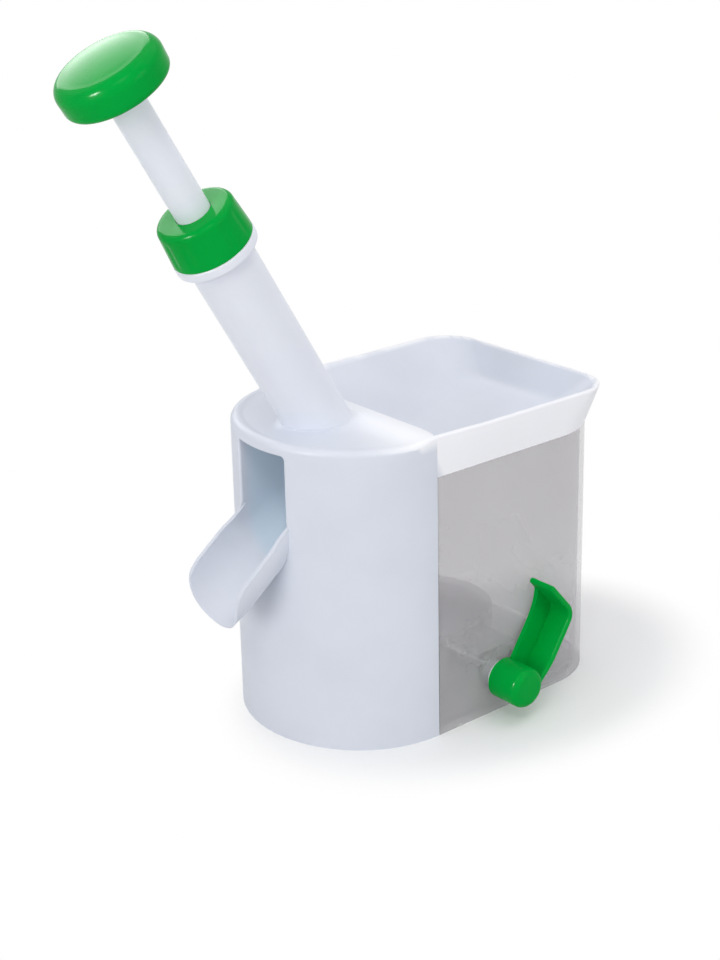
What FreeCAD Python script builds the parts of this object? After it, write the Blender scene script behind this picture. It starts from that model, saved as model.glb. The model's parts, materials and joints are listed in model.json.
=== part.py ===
import FreeCAD
import Part

import math
import os

from FreeCAD import Vector

# Frame: millimetres, +Z up, table at z = 0. The vertical line through the lever shaft's
# middle is the origin in plan. The delivery spout looks along -Y, the lever is on +X.

# Front housing and deck
half_width = 50.0
shell_depth = 47.8
seam_y = -33.5
shell_wall = 2.2
deck_z = 124.6
deck_thickness = 2.6
shoulder_radius = 4.0
partition_thickness = 2.0

# Hopper on top of the pit container
rim_rise = 1.7
rim_flare = 1.5
rim_corner = 18.0
rim_rear_inset = 0.7
rim_wall = 1.9
skirt_drop = 14.6
spigot_depth = 8.0
spigot_wall = 1.6
tray_front_drop = 24.6
tray_rear_drop = 12.6
tray_front_y = -23.0
tray_rear_margin = 9.0
tray_front_half = 12.5
tray_rear_half = 30.0
tray_corner = 8.0
tray_wall = 2.0

# Pit container
container_length = 98.7
container_corner = 31.0
container_wall = 2.0
container_floor_z = 2.0
container_floor = 2.0
front_wall_drop = 48.0
front_notch_half = 22.0
body_gap = 0.3

# Guide tube, leaning forward over the spout
tube_y = -51.3
tube_tilt = 30.3
tube_radius = 12.7
tube_bore = 10.7
tube_below_deck = 3.0
socket_wall = 2.0
flange_start = 85.7
flange_length = 4.1
flange_radius = 16.4
thread_length = 9.0
thread_radius = 13.2
tube_lip = 1.4
lip_radius = 9.2
bush_length = 10.0

# Collar on the guide tube
collar_length = 15.6
collar_radius = 16.3
collar_top_radius = 14.9
collar_top = 3.0
collar_round = 2.2
ring_length = 12.0

# Plunger
rod_radius = 6.8
rod_clearance = 0.08
knob_start = 158.5
knob_height = 13.9
knob_radius = 20.6
knob_edge = 3.6
knob_crown = 1.6
knob_under_edge = 1.0
knob_socket = 8.0
stroke = 45.0
piston_length = 9.5
piston_clearance = 0.1
rod_spigot_radius = 4.2
rod_spigot_length = 5.0
pin_radius = 2.6
pin_blade_radius = 4.2
pin_blade_width = 1.9
pin_blade_length = 70.0
pin_tip = -11.0
pin_socket = 3.5
running_gap = 0.3

# Return spring
spring_wire = 1.3
spring_radius = 7.6
spring_turns = 9
spring_end_gap = 0.1
washer_thickness = 1.0

# Cherry seat and pit tube
seat_drop = 35.0
seat_radius = 11.5
seat_hole = 5.6
seat_mouth = 9.8
seat_thickness = 3.4
seat_dish = 1.7
holder_radius = 13.4
holder_thickness = 4.0
holder_fit = 0.1
ring_wall = 2.0
ring_reach = 5.0
pit_tube_bore = 9.4
pit_tube_wall = 1.8
pit_tube_drop = 58.6

# Discharge chute and spout
spout_bore = 14.0
spout_wall = 1.8
spout_angle = 38.5
spout_axis_y = -79.0
spout_drop = 35.4
spout_lip_rise = 1.4
spout_lip_length = 27.0
spout_tongue = 40.0
tongue_fullness = 0.62
tongue_depth = 0.4
ramp_angle = 27.0
ramp_side = 2.0
opening_drop = 4.6
opening_corner = 1.5
chute_fit = 0.15

# Suction foot under the container
dome_radius = 31.0
dome_wall = 2.0
dome_top_z = 29.0
tunnel_half = 10.0
tunnel_top_z = 27.0
frame_plate_z = 8.0
frame_plate = 2.5
frame_gap = 0.4
frame_ring = 2.0
cup_rim_z = 0.3
cup_rim = 2.0
cup_edge_gap = 0.6
cup_centre_z = 4.6
cup_centre = 1.5
cup_hub_radius = 10.0
stem_radius = 2.5
plate_radius = 7.0
plate_thickness = 1.4
boss_margin = 2.5
boss_radius = 4.0
screw_radius = 1.6
screw_head_radius = 2.9
screw_head = 1.9
screw_bite = 9.0

# Lever shaft, cam and yoke
shaft_z = 14.9
shaft_radius = 3.0
shaft_clearance = 0.05
bearing_inner_x = 9.0
bearing_width = 5.0
bearing_half = 6.5
bearing_top = 7.0
cam_offset = 2.5
cam_phase = 6.0
cam_radius = 6.5
cam_width = 7.6
yoke_width = 8.0
yoke_bar = 2.0
yoke_play = 0.25
yoke_slot_half = 9.6
clip_rim = 1.2
clip_width = 1.2
wall_bush_radius = 5.0
wall_bush_flange = 7.0
wall_bush_lip = 1.2
wall_bush_length = 6.0

# Lever
hub_radius = 8.4
hub_reach = 16.8
hub_round = 2.0
hub_end = 4.0
arm_lean = 33.0
arm_length = 38.5
arm_width = 12.8
arm_thickness = 2.4
arm_bend = 5.0
lip_length = 13.0
web_thickness = 2.0
web_fillet = 8.0
web_hollow = 0.3

# Longer than the whole part, longer than any bore, and a sliver for clean joins
CUT = 400.0
REACH = 100.0
EPS = 0.01

rear_y = seam_y + container_length
rim_z = deck_z + rim_rise
skirt_z = deck_z - skirt_drop
tray_front_z = deck_z - tray_front_drop
tray_rear_z = deck_z - tray_rear_drop
front_wall_top = skirt_z - front_wall_drop
pit_tube_end_z = deck_z - pit_tube_drop
spout_axis_z = deck_z - spout_drop
tilt = math.radians(tube_tilt)
tube_foot = Vector(0, tube_y, deck_z)
tube_axis = Vector(0, -math.sin(tilt), math.cos(tilt))
collar_start = flange_start + flange_length
collar_end = collar_start + collar_length
ring_start = collar_end - collar_top - ring_length
piston_end = ring_start - running_gap
piston_start = piston_end - piston_length
opening_top_z = deck_z - opening_drop
boss_circle = dome_radius - dome_wall - frame_gap - frame_ring - screw_head_radius - boss_margin
X = Vector(1, 0, 0)
Z = Vector(0, 0, 1)


def on_tube(s):
    """Point on the guide tube's axis, s millimetres up from the deck."""
    return tube_foot + tube_axis * s


def tube_cylinder(radius, start, end):
    """Cylinder along the guide tube's axis."""
    return Part.makeCylinder(radius, end - start, on_tube(start), tube_axis)


def tube_turned(profile):
    """Solid turned about the guide tube's axis from (radius, height) points."""
    solid = turned(profile)
    solid.rotate(Vector(0, 0, 0), X, tube_tilt)
    solid.translate(tube_foot)
    return solid


def turned(points):
    """Solid of revolution about Z from a closed list of (radius, height) points."""
    corners = [Vector(r, 0, z) for r, z in points]
    face = Part.Face(Part.makePolygon(corners + corners[:1]))
    return face.revolve(Vector(0, 0, 0), Z, 360)


def box(x0, x1, y0, y1, z0, z1):
    """Box between two corners."""
    return Part.makeBox(x1 - x0, y1 - y0, z1 - z0, Vector(x0, y0, z0))


def bar_x(radius, x0, x1, y, z):
    """Cylinder along X."""
    return Part.makeCylinder(radius, x1 - x0, Vector(x0, y, z), X)


def half_ellipse(half_x, depth, z0, z1):
    """Prism on a half ellipse that bulges forward from the seam plane."""
    centre = Vector(0, seam_y, z0)
    tip_x = centre + Vector(half_x, 0, 0)
    tip_y = centre - Vector(0, depth, 0)
    if half_x >= depth:
        curve = Part.Arc(Part.Ellipse(tip_x, tip_y, centre), 0, math.pi)
    else:
        far_x = centre - Vector(half_x, 0, 0)
        curve = Part.Arc(Part.Ellipse(tip_y, far_x, centre), -math.pi / 2, math.pi / 2)
    arc = curve.toShape()
    ends = [v.Point for v in arc.Vertexes]
    line = Part.makeLine(ends[0], ends[-1])
    face = Part.Face(Part.Wire([arc, line]))
    return face.extrude(Vector(0, 0, z1 - z0))


def tray_wire(front_half, rear_half, y0, y1, corner, z0, z1):
    """Closed outline with two rounded rear corners, on a plane from z0 at y0 to z1 at y1."""
    def at(x, y):
        return Vector(x, y, z0 + (z1 - z0) * (y - y0) / (y1 - y0))

    side = Vector(rear_half - front_half, y1 - y0, 0)
    side.normalize()
    back = Vector(-1, 0, 0)
    half_turn = math.acos(side.dot(back)) / 2
    reach = corner * math.tan(half_turn)
    tip = Vector(rear_half, y1, 0)
    start = tip - side * reach
    end = tip + back * reach
    centre = Vector(end.x, y1 - corner, 0)
    middle = centre + (tip - centre).normalize() * corner
    points = [at(p.x, p.y) for p in (start, middle, end)]
    mirrored = [Vector(-p.x, p.y, p.z) for p in points]
    low_right = at(front_half, y0)
    low_left = at(-front_half, y0)
    edges = [
        Part.makeLine(low_left, low_right),
        Part.makeLine(low_right, points[0]),
        Part.Arc(*points).toShape(),
        Part.makeLine(points[2], mirrored[2]),
        Part.Arc(*mirrored[::-1]).toShape(),
        Part.makeLine(mirrored[0], low_left),
    ]
    return Part.Wire(edges)


def container_prism(inset, z0, z1, front_inset=0.0):
    """Prism on the container's plan, drawn in by inset on its sides and rear."""
    half = half_width - inset
    wire = tray_wire(half, half, seam_y + front_inset, rear_y - inset, container_corner - inset, z0, z0)
    return Part.Face(wire).extrude(Vector(0, 0, z1 - z0))


def hopper_loft(inset):
    """Flared hopper side, from the container's plan up to the squarer rim."""
    half = half_width - inset
    low = tray_wire(half, half, seam_y, rear_y - inset, container_corner - inset, skirt_z, skirt_z)
    top_half = half + rim_flare
    top_rear = rear_y - rim_rear_inset - inset
    high = tray_wire(top_half, top_half, seam_y, top_rear, rim_corner - inset, rim_z, rim_z)
    return Part.makeLoft([low, high], True, True)


def bowl_loft(grow):
    """Feed tray from the rim down to a sloping floor that leads to the cherry seat."""
    half = half_width + rim_flare - rim_wall + grow
    rear = rear_y - rim_rear_inset - rim_wall + grow
    corner = rim_corner - rim_wall + grow
    top = rim_z + EPS - grow / 2
    high = tray_wire(half, half, seam_y + rim_wall - grow, rear, corner, top, top)
    low = tray_wire(tray_front_half + grow, tray_rear_half + grow, tray_front_y - grow,
                    rear_y - tray_rear_margin, tray_corner + grow, tray_front_z - grow, tray_rear_z - grow)
    return Part.makeLoft([high, low], True, True)


def make_housing():
    """Front shell, deck, hopper and seat ring: one white moulding."""
    outer = half_ellipse(half_width, shell_depth, 0, deck_z)
    rims = [e for e in outer.Edges if e.BoundBox.ZMin > deck_z - EPS and e.BoundBox.YLength > EPS]
    outer = outer.makeFillet(shoulder_radius, rims)
    ceiling = deck_z - deck_thickness
    hollow = half_ellipse(half_width - shell_wall, shell_depth - shell_wall, -EPS, ceiling)
    hollow = hollow.cut(box(-CUT, CUT, seam_y - partition_thickness, CUT, -CUT, CUT))
    shell = outer.cut(hollow)
    skirt = hopper_loft(0).cut(hopper_loft(rim_wall))
    skirt = skirt.cut(box(-half_width + rim_wall, half_width - rim_wall, seam_y - EPS,
                          rear_y - container_corner, skirt_z - EPS, deck_z - rim_wall))
    spigot_out = container_wall + body_gap
    spigot = container_prism(spigot_out, skirt_z - spigot_depth, skirt_z + rim_wall)
    spigot = spigot.cut(container_prism(spigot_out + spigot_wall, 0, CUT, -EPS))
    front_clear = seam_y + 2 * body_gap + container_wall
    spigot = spigot.cut(box(-CUT, CUT, -CUT, front_clear, 0, skirt_z))
    ledge = container_prism(EPS, skirt_z, skirt_z + rim_wall)
    ledge = ledge.cut(container_prism(spigot_out + spigot_wall, 0, CUT, -EPS))
    bowl = bowl_loft(tray_wall)
    socket = tube_cylinder(tube_radius + socket_wall, -REACH, 0)
    socket = socket.common(box(-CUT, CUT, -CUT, CUT, socket_end_z(), deck_z))
    ring_end = -seat_drop - holder_thickness - ring_reach
    seat_ring = tube_cylinder(holder_radius + ring_wall, ring_end, -seat_drop)
    body = shell.multiFuse([skirt, spigot, ledge, bowl, socket, seat_ring])
    body = body.cut(bowl_loft(0))
    body = body.cut(tube_cylinder(tube_radius, -tube_radius, CUT))
    body = body.cut(tube_cylinder(holder_radius, -seat_drop - REACH, -tube_radius))
    pit_way = pit_tube_bore + pit_tube_wall + body_gap
    body = body.cut(tube_cylinder(pit_way, -REACH, -seat_drop))
    body = body.cut(chute_volume(spout_bore + spout_wall + chute_fit))
    top = box(-spout_bore, spout_bore, -CUT, seam_y - holder_radius, spout_axis_z, opening_top_z)
    body = body.cut(rounded_x_edges(top))
    half = tray_front_half
    feed = box(-half, half, seam_y - holder_radius, tray_front_y, tray_front_z, socket_end_z())
    return body.cut(feed).removeSplitter()


def rounded_x_edges(block):
    """Block with its upright-facing top corners rounded, as at the chute's mouth."""
    tops = [e for e in block.Edges if e.BoundBox.ZMin > opening_top_z - EPS and e.BoundBox.YLength > EPS]
    return block.makeFillet(opening_corner, tops)


def trough_line(angle):
    """Axis point under the chute's mouth, and the directions along and below that slope."""
    slope = math.radians(angle)
    floor_z = spout_axis_z - spout_bore / math.cos(math.radians(spout_angle))
    start = Vector(0, spout_axis_y, floor_z + spout_bore / math.cos(slope))
    along = Vector(0, -math.cos(slope), -math.sin(slope))
    below = Vector(0, math.sin(slope), -math.cos(slope))
    return start, along, below


def chute_volume(radius):
    """Inner ramp and outer spout as two joined round bars of one radius."""
    bars = []
    for angle, y0, y1 in ((ramp_angle, spout_axis_y, seam_y), (spout_angle, -CUT, spout_axis_y)):
        start, along, below = trough_line(angle)
        bar = Part.makeCylinder(radius, CUT / 2, start - along * REACH, along)
        bars.append(bar.common(box(-CUT, CUT, y0, y1, -CUT, CUT)))
    return bars[0].fuse(bars[1])


def side_prism(edges):
    """Closed side outline, drawn at x = 0, as a prism wider than the part."""
    prism = Part.Face(Part.Wire(edges)).extrude(X * CUT)
    prism.translate(X * (-CUT / 2))
    return prism


def crossing(p, along, q, slant):
    """Point of the side plane where the line through p meets the line through q."""
    return p + along * ((q - p).cross(slant).x / along.cross(slant).x)


def channel_prism(start, along):
    """Room over the ramp inside the shell, from its front wall back to the seat ring."""
    ring = holder_radius + ring_wall + chute_fit
    forward = Vector(0, -math.cos(tilt), -math.sin(tilt))
    rear = tube_foot + forward * math.sqrt(max(ring ** 2 - spout_bore ** 2, 0))
    top = Vector(0, spout_axis_y, socket_end_z() - chute_fit)
    rear_top = crossing(top, Vector(0, 1, 0), rear, tube_axis)
    corners = [start, top, rear_top, crossing(start, along, rear, tube_axis)]
    room = side_prism(Part.makePolygon(corners + corners[:1]).Edges)
    inset = shell_wall + chute_fit
    return room.common(half_ellipse(half_width - inset, shell_depth - inset, -EPS, deck_z))


def make_chute():
    """Ramp from the seat through the housing's mouth, with side walls, ending in the rounded spout."""
    trough = chute_volume(spout_bore + spout_wall)
    trough = trough.cut(chute_volume(spout_bore))
    radius = spout_bore + spout_wall
    start, along, below = trough_line(spout_angle)

    def spout_point(run, depth):
        return start + along * run + below * depth

    lip_start = spout_point(-REACH / 2, -spout_lip_rise)
    lip_end = spout_point(spout_lip_length, -spout_lip_rise)
    shoulder = spout_point(spout_lip_length + (spout_tongue - spout_lip_length) * tongue_fullness,
                           radius * tongue_depth)
    tip = spout_point(spout_tongue, radius + 1)
    low_end = spout_point(spout_tongue, REACH / 2)
    low_start = spout_point(-REACH / 2, REACH / 2)
    keep = side_prism([
        Part.makeLine(lip_start, lip_end),
        Part.Arc(lip_end, shoulder, tip).toShape(),
        Part.makeLine(tip, low_end),
        Part.makeLine(low_end, low_start),
        Part.makeLine(low_start, lip_start),
    ])
    keep = keep.common(box(-CUT, CUT, -CUT, spout_axis_y, -CUT, CUT))
    start, along, below = trough_line(ramp_angle)
    top = start - below * ramp_side
    corners = [top + along * REACH, top - along * REACH]
    corners += [p + below * REACH for p in corners[::-1]]
    ramp_keep = side_prism(Part.makePolygon(corners + corners[:1]).Edges)
    ramp_keep = ramp_keep.common(box(-CUT, CUT, spout_axis_y, CUT, -CUT, CUT))
    trough = trough.common(keep.fuse(ramp_keep))
    channel = channel_prism(start, along)
    trough = trough.fuse(channel.common(box(-radius, radius, -CUT, CUT, -CUT, CUT)))
    trough = trough.cut(channel.common(box(-spout_bore, spout_bore, -CUT, CUT, -CUT, CUT)))
    trough = trough.cut(tube_cylinder(holder_radius + ring_wall + chute_fit, -REACH, REACH))
    trough = trough.common(box(-CUT, CUT, -CUT, seam_y - partition_thickness - chute_fit, -CUT, CUT))
    return trough.removeSplitter()


def make_seat_holder():
    """Flanged ring under the seat, with the tube that leads stones into the container."""
    top = -seat_drop
    flange = tube_cylinder(holder_radius - holder_fit, top - holder_thickness, top)
    tube = tube_cylinder(pit_tube_bore + pit_tube_wall, -REACH, top - holder_thickness)
    tube = tube.common(box(-CUT, CUT, -CUT, CUT, pit_tube_end_z, CUT))
    body = flange.fuse(tube)
    body = body.cut(tube_cylinder(pit_tube_bore, -REACH, top + 1))
    body = body.cut(tube_cylinder(seat_radius, top - seat_thickness, top + 1))
    return body.removeSplitter()


def make_seat():
    """Soft dished ring that the fruit sits on."""
    low = -seat_drop - seat_thickness
    return tube_turned([(seat_hole, low), (seat_radius, low), (seat_radius, -seat_drop),
                        (seat_mouth, -seat_drop), (seat_hole, low + seat_dish)])


def socket_end_z():
    """Level at which the guide tube and its socket end under the deck."""
    return deck_z - deck_thickness - tube_below_deck


def make_guide_tube():
    """Long tube with its flange, threaded spigot and the lip that holds the bush."""
    body = tube_cylinder(tube_radius, -REACH / 2, collar_start)
    body = body.fuse(tube_cylinder(flange_radius, flange_start, collar_start))
    body = body.fuse(tube_cylinder(thread_radius, collar_start, collar_start + thread_length))
    body = body.common(box(-CUT, CUT, -CUT, CUT, socket_end_z(), CUT))
    body = body.cut(tube_cylinder(tube_bore, bush_seat(), CUT))
    body = body.cut(tube_cylinder(lip_radius, -REACH / 2, CUT))
    return body.removeSplitter()


def bush_seat():
    """Height along the tube at which the bush stands, clear of the tube's slanted end."""
    drop = (tube_radius * math.sin(tilt) - deck_thickness - tube_below_deck) / math.cos(tilt)
    return drop + tube_lip


def make_bush():
    """Stripper bush that guides the pin and wipes the fruit off it."""
    start = bush_seat()
    body = tube_cylinder(tube_bore - piston_clearance, start, start + bush_length)
    return body.cut(tube_cylinder(pin_blade_radius + piston_clearance, start - 1, start + bush_length + 1))


def spring_seat():
    """Height along the tube of the washer's upper face."""
    return bush_seat() + bush_length + washer_thickness


def make_washer():
    """Thin ring between the bush and the spring."""
    start = bush_seat() + bush_length
    ring = tube_cylinder(spring_radius + spring_wire, start, start + washer_thickness)
    return ring.cut(tube_cylinder(pin_blade_radius + running_gap, start - 1, start + washer_thickness + 1))


def arc_middle(a, tangent, b):
    """Middle point of the arc that leaves a along tangent and ends at b."""
    chord = b - a
    along = tangent.dot(chord) / chord.Length
    across = tangent - chord * (along / chord.Length)
    turn = math.atan2(across.Length, along)
    return (a + b) * 0.5 + across.normalize() * (chord.Length / 2 * math.tan(turn / 2))


def biarc(p, t, q, u):
    """Two arcs from p along t to q along u that share their tangent where they meet."""
    v = q - p
    a = 2 * (t.dot(u) - 1)
    b = -2 * v.dot(t + u)
    reach = (-b - math.sqrt(b * b - 4 * a * v.dot(v))) / (2 * a)
    joint = (p + q + (t - u) * reach) * 0.5
    first = Part.Arc(p, arc_middle(p, t, joint), joint).toShape()
    second = Part.Arc(joint, arc_middle(q, u * -1, joint), q).toShape()
    return [first, second]


def make_spring():
    """Coiled return spring, wound as one wire between the washer and the piston."""
    end_room = spring_wire / 2 + spring_end_gap
    start = spring_seat() + end_room
    height = piston_start - end_room - start
    halves = 2 * spring_turns
    climb = height / (spring_turns * 2 * math.pi)
    scale = 1 / math.hypot(spring_radius, climb)

    def station(turn):
        c, s = math.cos(turn), math.sin(turn)
        point = Vector(spring_radius * c, spring_radius * s, climb * turn)
        tangent = Vector(-spring_radius * s, spring_radius * c, climb) * scale
        return point, tangent

    edges = []
    for i in range(halves):
        p, t = station(i * math.pi)
        q, u = station((i + 1) * math.pi)
        edges += biarc(p, t, q, u)
    path = Part.Wire(edges)
    p, t = station(0)
    section = Part.Wire(Part.makeCircle(spring_wire / 2, p, t))
    coil = path.makePipeShell([section], True, False)
    gap = height / spring_turns * spring_radius * scale - spring_wire
    print("return spring: least gap between turns %.2f mm" % gap)
    coil.translate(Vector(0, 0, start))
    coil.rotate(Vector(0, 0, 0), X, tube_tilt)
    coil.translate(tube_foot)
    return coil


def make_guide_ring():
    """Smooth ring in the tube's top that guides the rod and stops the piston."""
    ring = tube_cylinder(tube_bore - piston_clearance, ring_start, ring_start + ring_length)
    return ring.cut(tube_cylinder(rod_radius + rod_clearance, ring_start - 1, collar_end))


def make_collar():
    """Screw cap on the tube's thread, slightly conical, with a rounded shoulder."""
    body = Part.makeCone(collar_radius, collar_top_radius, collar_length, on_tube(collar_start), tube_axis)
    top = [e for e in body.Edges if e.CenterOfMass.distanceToPoint(on_tube(collar_end)) < EPS]
    body = body.makeFillet(collar_round, top)
    body = body.cut(tube_cylinder(thread_radius, collar_start - 1, collar_start + thread_length))
    body = body.cut(tube_cylinder(tube_bore, collar_start, collar_end - collar_top))
    return body.cut(tube_cylinder(rod_radius + rod_clearance, collar_start, collar_end + 1))


def make_rod():
    """White rod from the piston up into the knob."""
    rod = tube_cylinder(rod_radius, piston_end, knob_start + knob_socket)
    return rod.fuse(tube_cylinder(rod_spigot_radius, piston_end - rod_spigot_length, piston_end))


def make_knob():
    """Palm knob: a low disc with rounded edges and a slightly crowned top."""
    rise = knob_height - knob_crown
    body = tube_cylinder(knob_radius, knob_start, knob_start + rise)
    crown_radius = (knob_radius ** 2 + knob_crown ** 2) / (2 * knob_crown)
    ball = Part.makeSphere(crown_radius, on_tube(knob_start + knob_height - crown_radius))
    dome = ball.common(tube_cylinder(knob_radius, knob_start + rise, knob_start + knob_height))
    body = body.fuse(dome).removeSplitter()
    rims = [e for e in body.Edges if e.CenterOfMass.distanceToPoint(on_tube(knob_start + rise)) < EPS]
    body = body.makeFillet(knob_edge, rims)
    under = [e for e in body.Edges if e.CenterOfMass.distanceToPoint(on_tube(knob_start)) < EPS]
    body = body.makeFillet(knob_under_edge, under)
    return body.cut(tube_cylinder(rod_radius, knob_start - 1, knob_start + knob_socket))


def make_piston():
    """Sliding piston that joins the rod to the pin and carries the spring."""
    body = tube_cylinder(tube_bore - piston_clearance, piston_start, piston_end)
    body = body.cut(tube_cylinder(rod_spigot_radius, piston_end - rod_spigot_length, piston_end + 1))
    return body.cut(tube_cylinder(pin_radius, piston_start - 1, piston_start + pin_socket))


def make_pin():
    """Pitting pin: a steel pin with four blades and a hollow-cornered tip."""
    body = tube_cylinder(pin_radius, pin_tip, piston_start + pin_socket)
    foot = on_tube(pin_tip)
    for turn in (0, 90):
        blade = Part.makeBox(2 * pin_blade_radius, pin_blade_width, pin_blade_length)
        blade.translate(Vector(-pin_blade_radius, -pin_blade_width / 2, 0))
        blade.rotate(Vector(0, 0, 0), Z, turn)
        blade.rotate(Vector(0, 0, 0), X, tube_tilt)
        blade.translate(foot)
        body = body.fuse(blade)
    body = body.common(tube_cylinder(pin_blade_radius, pin_tip - 1, piston_start + pin_socket))
    return body.removeSplitter()


def boss_places():
    """Plan positions of the four screw bosses around the shaft."""
    spread = boss_circle / math.sqrt(2)
    return [Vector(sx * spread, sy * spread, 0) for sx in (-1, 1) for sy in (-1, 1)]


def make_container():
    """Frosted pit container with the dome and tunnel that cover the suction mechanism."""
    front = body_gap
    body = container_prism(0, 0, skirt_z, front)
    floor_top = container_floor_z + container_floor
    inside = container_prism(container_wall, floor_top, skirt_z + 1, front + container_wall)
    under = container_prism(container_wall, -1, container_floor_z, front + container_wall)
    body = body.cut(inside).cut(under)
    dome = Part.makeCylinder(dome_radius, dome_top_z - container_floor_z, Vector(0, 0, container_floor_z))
    far_x = half_width - container_wall / 2
    tunnel = box(0, far_x, -tunnel_half, tunnel_half, container_floor_z, tunnel_top_z)
    body = body.multiFuse([dome, tunnel])
    hollow = Part.makeCylinder(dome_radius - dome_wall, dome_top_z - dome_wall)
    way = box(0, half_width - container_wall, dome_wall - tunnel_half, tunnel_half - dome_wall,
              -1, tunnel_top_z - dome_wall)
    body = body.cut(hollow).cut(way)
    plate_top = frame_plate_z + frame_plate
    for place in boss_places():
        boss = Part.makeCylinder(boss_radius, dome_top_z - dome_wall - plate_top + EPS, place + Z * plate_top)
        body = body.fuse(boss)
        body = body.cut(Part.makeCylinder(screw_radius, screw_bite, place + Z * plate_top))
    body = body.cut(bar_x(wall_bush_radius, half_width - wall_bush_length, half_width + 1, 0, shaft_z))
    notch = box(-front_notch_half, front_notch_half, -CUT, seam_y + 4 * container_wall, front_wall_top, CUT)
    return body.cut(notch).removeSplitter()


def make_suction_frame():
    """Plate and ring that press on the cup's rim, with the two shaft bearings."""
    radius = dome_radius - dome_wall - frame_gap
    top = frame_plate_z + frame_plate
    ring_low = cup_rim_z + cup_rim + body_gap
    body = Part.makeCylinder(radius, top - ring_low, Vector(0, 0, ring_low))
    body = body.cut(Part.makeCylinder(radius - frame_ring, frame_plate_z - ring_low, Vector(0, 0, ring_low)))
    for side in (-1, 1):
        x0 = side * bearing_inner_x - (bearing_width if side < 0 else 0)
        block = box(x0, x0 + bearing_width, -bearing_half, bearing_half, top - EPS, shaft_z + bearing_top)
        body = body.fuse(block)
    slot = yoke_slot_half + yoke_bar + 2 * yoke_play
    half = yoke_width / 2 + 2 * yoke_play
    body = body.cut(box(-half, half, -slot, slot, 0, top + 1))
    body = body.cut(bar_x(shaft_radius + shaft_clearance, -CUT, CUT, 0, shaft_z))
    for place in boss_places():
        body = body.cut(Part.makeCylinder(screw_radius, CUT, place))
    return body.removeSplitter()


def make_frame_screws():
    """Four screws that hold the suction frame under the dome."""
    screws = []
    for place in boss_places():
        head = Part.makeCylinder(screw_head_radius, screw_head, place + Z * (frame_plate_z - screw_head))
        shank = Part.makeCylinder(screw_radius, frame_plate + screw_bite, place + Z * frame_plate_z)
        screws.append(head.fuse(shank))
    return Part.makeCompound(screws)


def make_cup():
    """Rubber suction cup, its rim on the table and its middle drawn up."""
    edge = dome_radius - dome_wall - cup_edge_gap
    under = cup_centre_z
    return turned([(stem_radius, under), (plate_radius, under), (edge, cup_rim_z),
                   (edge, cup_rim_z + cup_rim), (edge - frame_ring, cup_rim_z + cup_rim),
                   (cup_hub_radius, under + cup_centre), (stem_radius, under + cup_centre)])


def make_cup_plate():
    """Disc under the middle of the cup that spreads the pull."""
    disc = Part.makeCylinder(plate_radius, plate_thickness, Vector(0, 0, cup_centre_z - plate_thickness))
    return disc.cut(Part.makeCylinder(stem_radius, CUT))


def cam_rise():
    """Height of the cam's middle above the shaft at rest."""
    return cam_offset * math.sin(math.radians(cam_phase))


def make_stem():
    """Stem through the cup with the slotted yoke that the cam lifts."""
    middle = shaft_z + cam_rise()
    slot_half = cam_radius + yoke_play
    low = middle - slot_half - yoke_bar
    outer = box(-yoke_width / 2, yoke_width / 2, -yoke_slot_half - yoke_bar, yoke_slot_half + yoke_bar,
                low, middle + slot_half + yoke_bar)
    low, high = middle - slot_half, middle + slot_half
    slot = box(-yoke_width, yoke_width, -yoke_slot_half, yoke_slot_half, low, high)
    foot = cup_centre_z - plate_thickness
    stem = Part.makeCylinder(stem_radius, low - foot + EPS, Vector(0, 0, foot))
    return outer.cut(slot).fuse(stem).removeSplitter()


def make_cam():
    """Eccentric disc on the shaft, inside the yoke."""
    phase = math.radians(cam_phase)
    y = -cam_offset * math.cos(phase)
    disc = bar_x(cam_radius, -cam_width / 2, cam_width / 2, y, shaft_z + cam_rise())
    return disc.cut(bar_x(shaft_radius, -CUT, CUT, 0, shaft_z))


def make_shaft():
    """Steel shaft from the inner bearing out into the lever's hub."""
    inner = -bearing_inner_x - bearing_width - running_gap - clip_width - 1
    return bar_x(shaft_radius, inner, half_width + hub_reach - hub_end, 0, shaft_z)


def make_clip():
    """Retaining ring at the shaft's inner end."""
    outer_face = -bearing_inner_x - bearing_width - running_gap
    ring = bar_x(shaft_radius + clip_rim, outer_face - clip_width, outer_face, 0, shaft_z)
    return ring.cut(bar_x(shaft_radius, -CUT, CUT, 0, shaft_z))


def make_wall_bush():
    """Flanged bush where the shaft leaves the container's wall."""
    body = bar_x(wall_bush_radius, half_width - wall_bush_length, half_width, 0, shaft_z)
    body = body.fuse(bar_x(wall_bush_flange, half_width, half_width + wall_bush_lip, 0, shaft_z))
    return body.cut(bar_x(shaft_radius + shaft_clearance, 0, CUT, 0, shaft_z))


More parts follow.
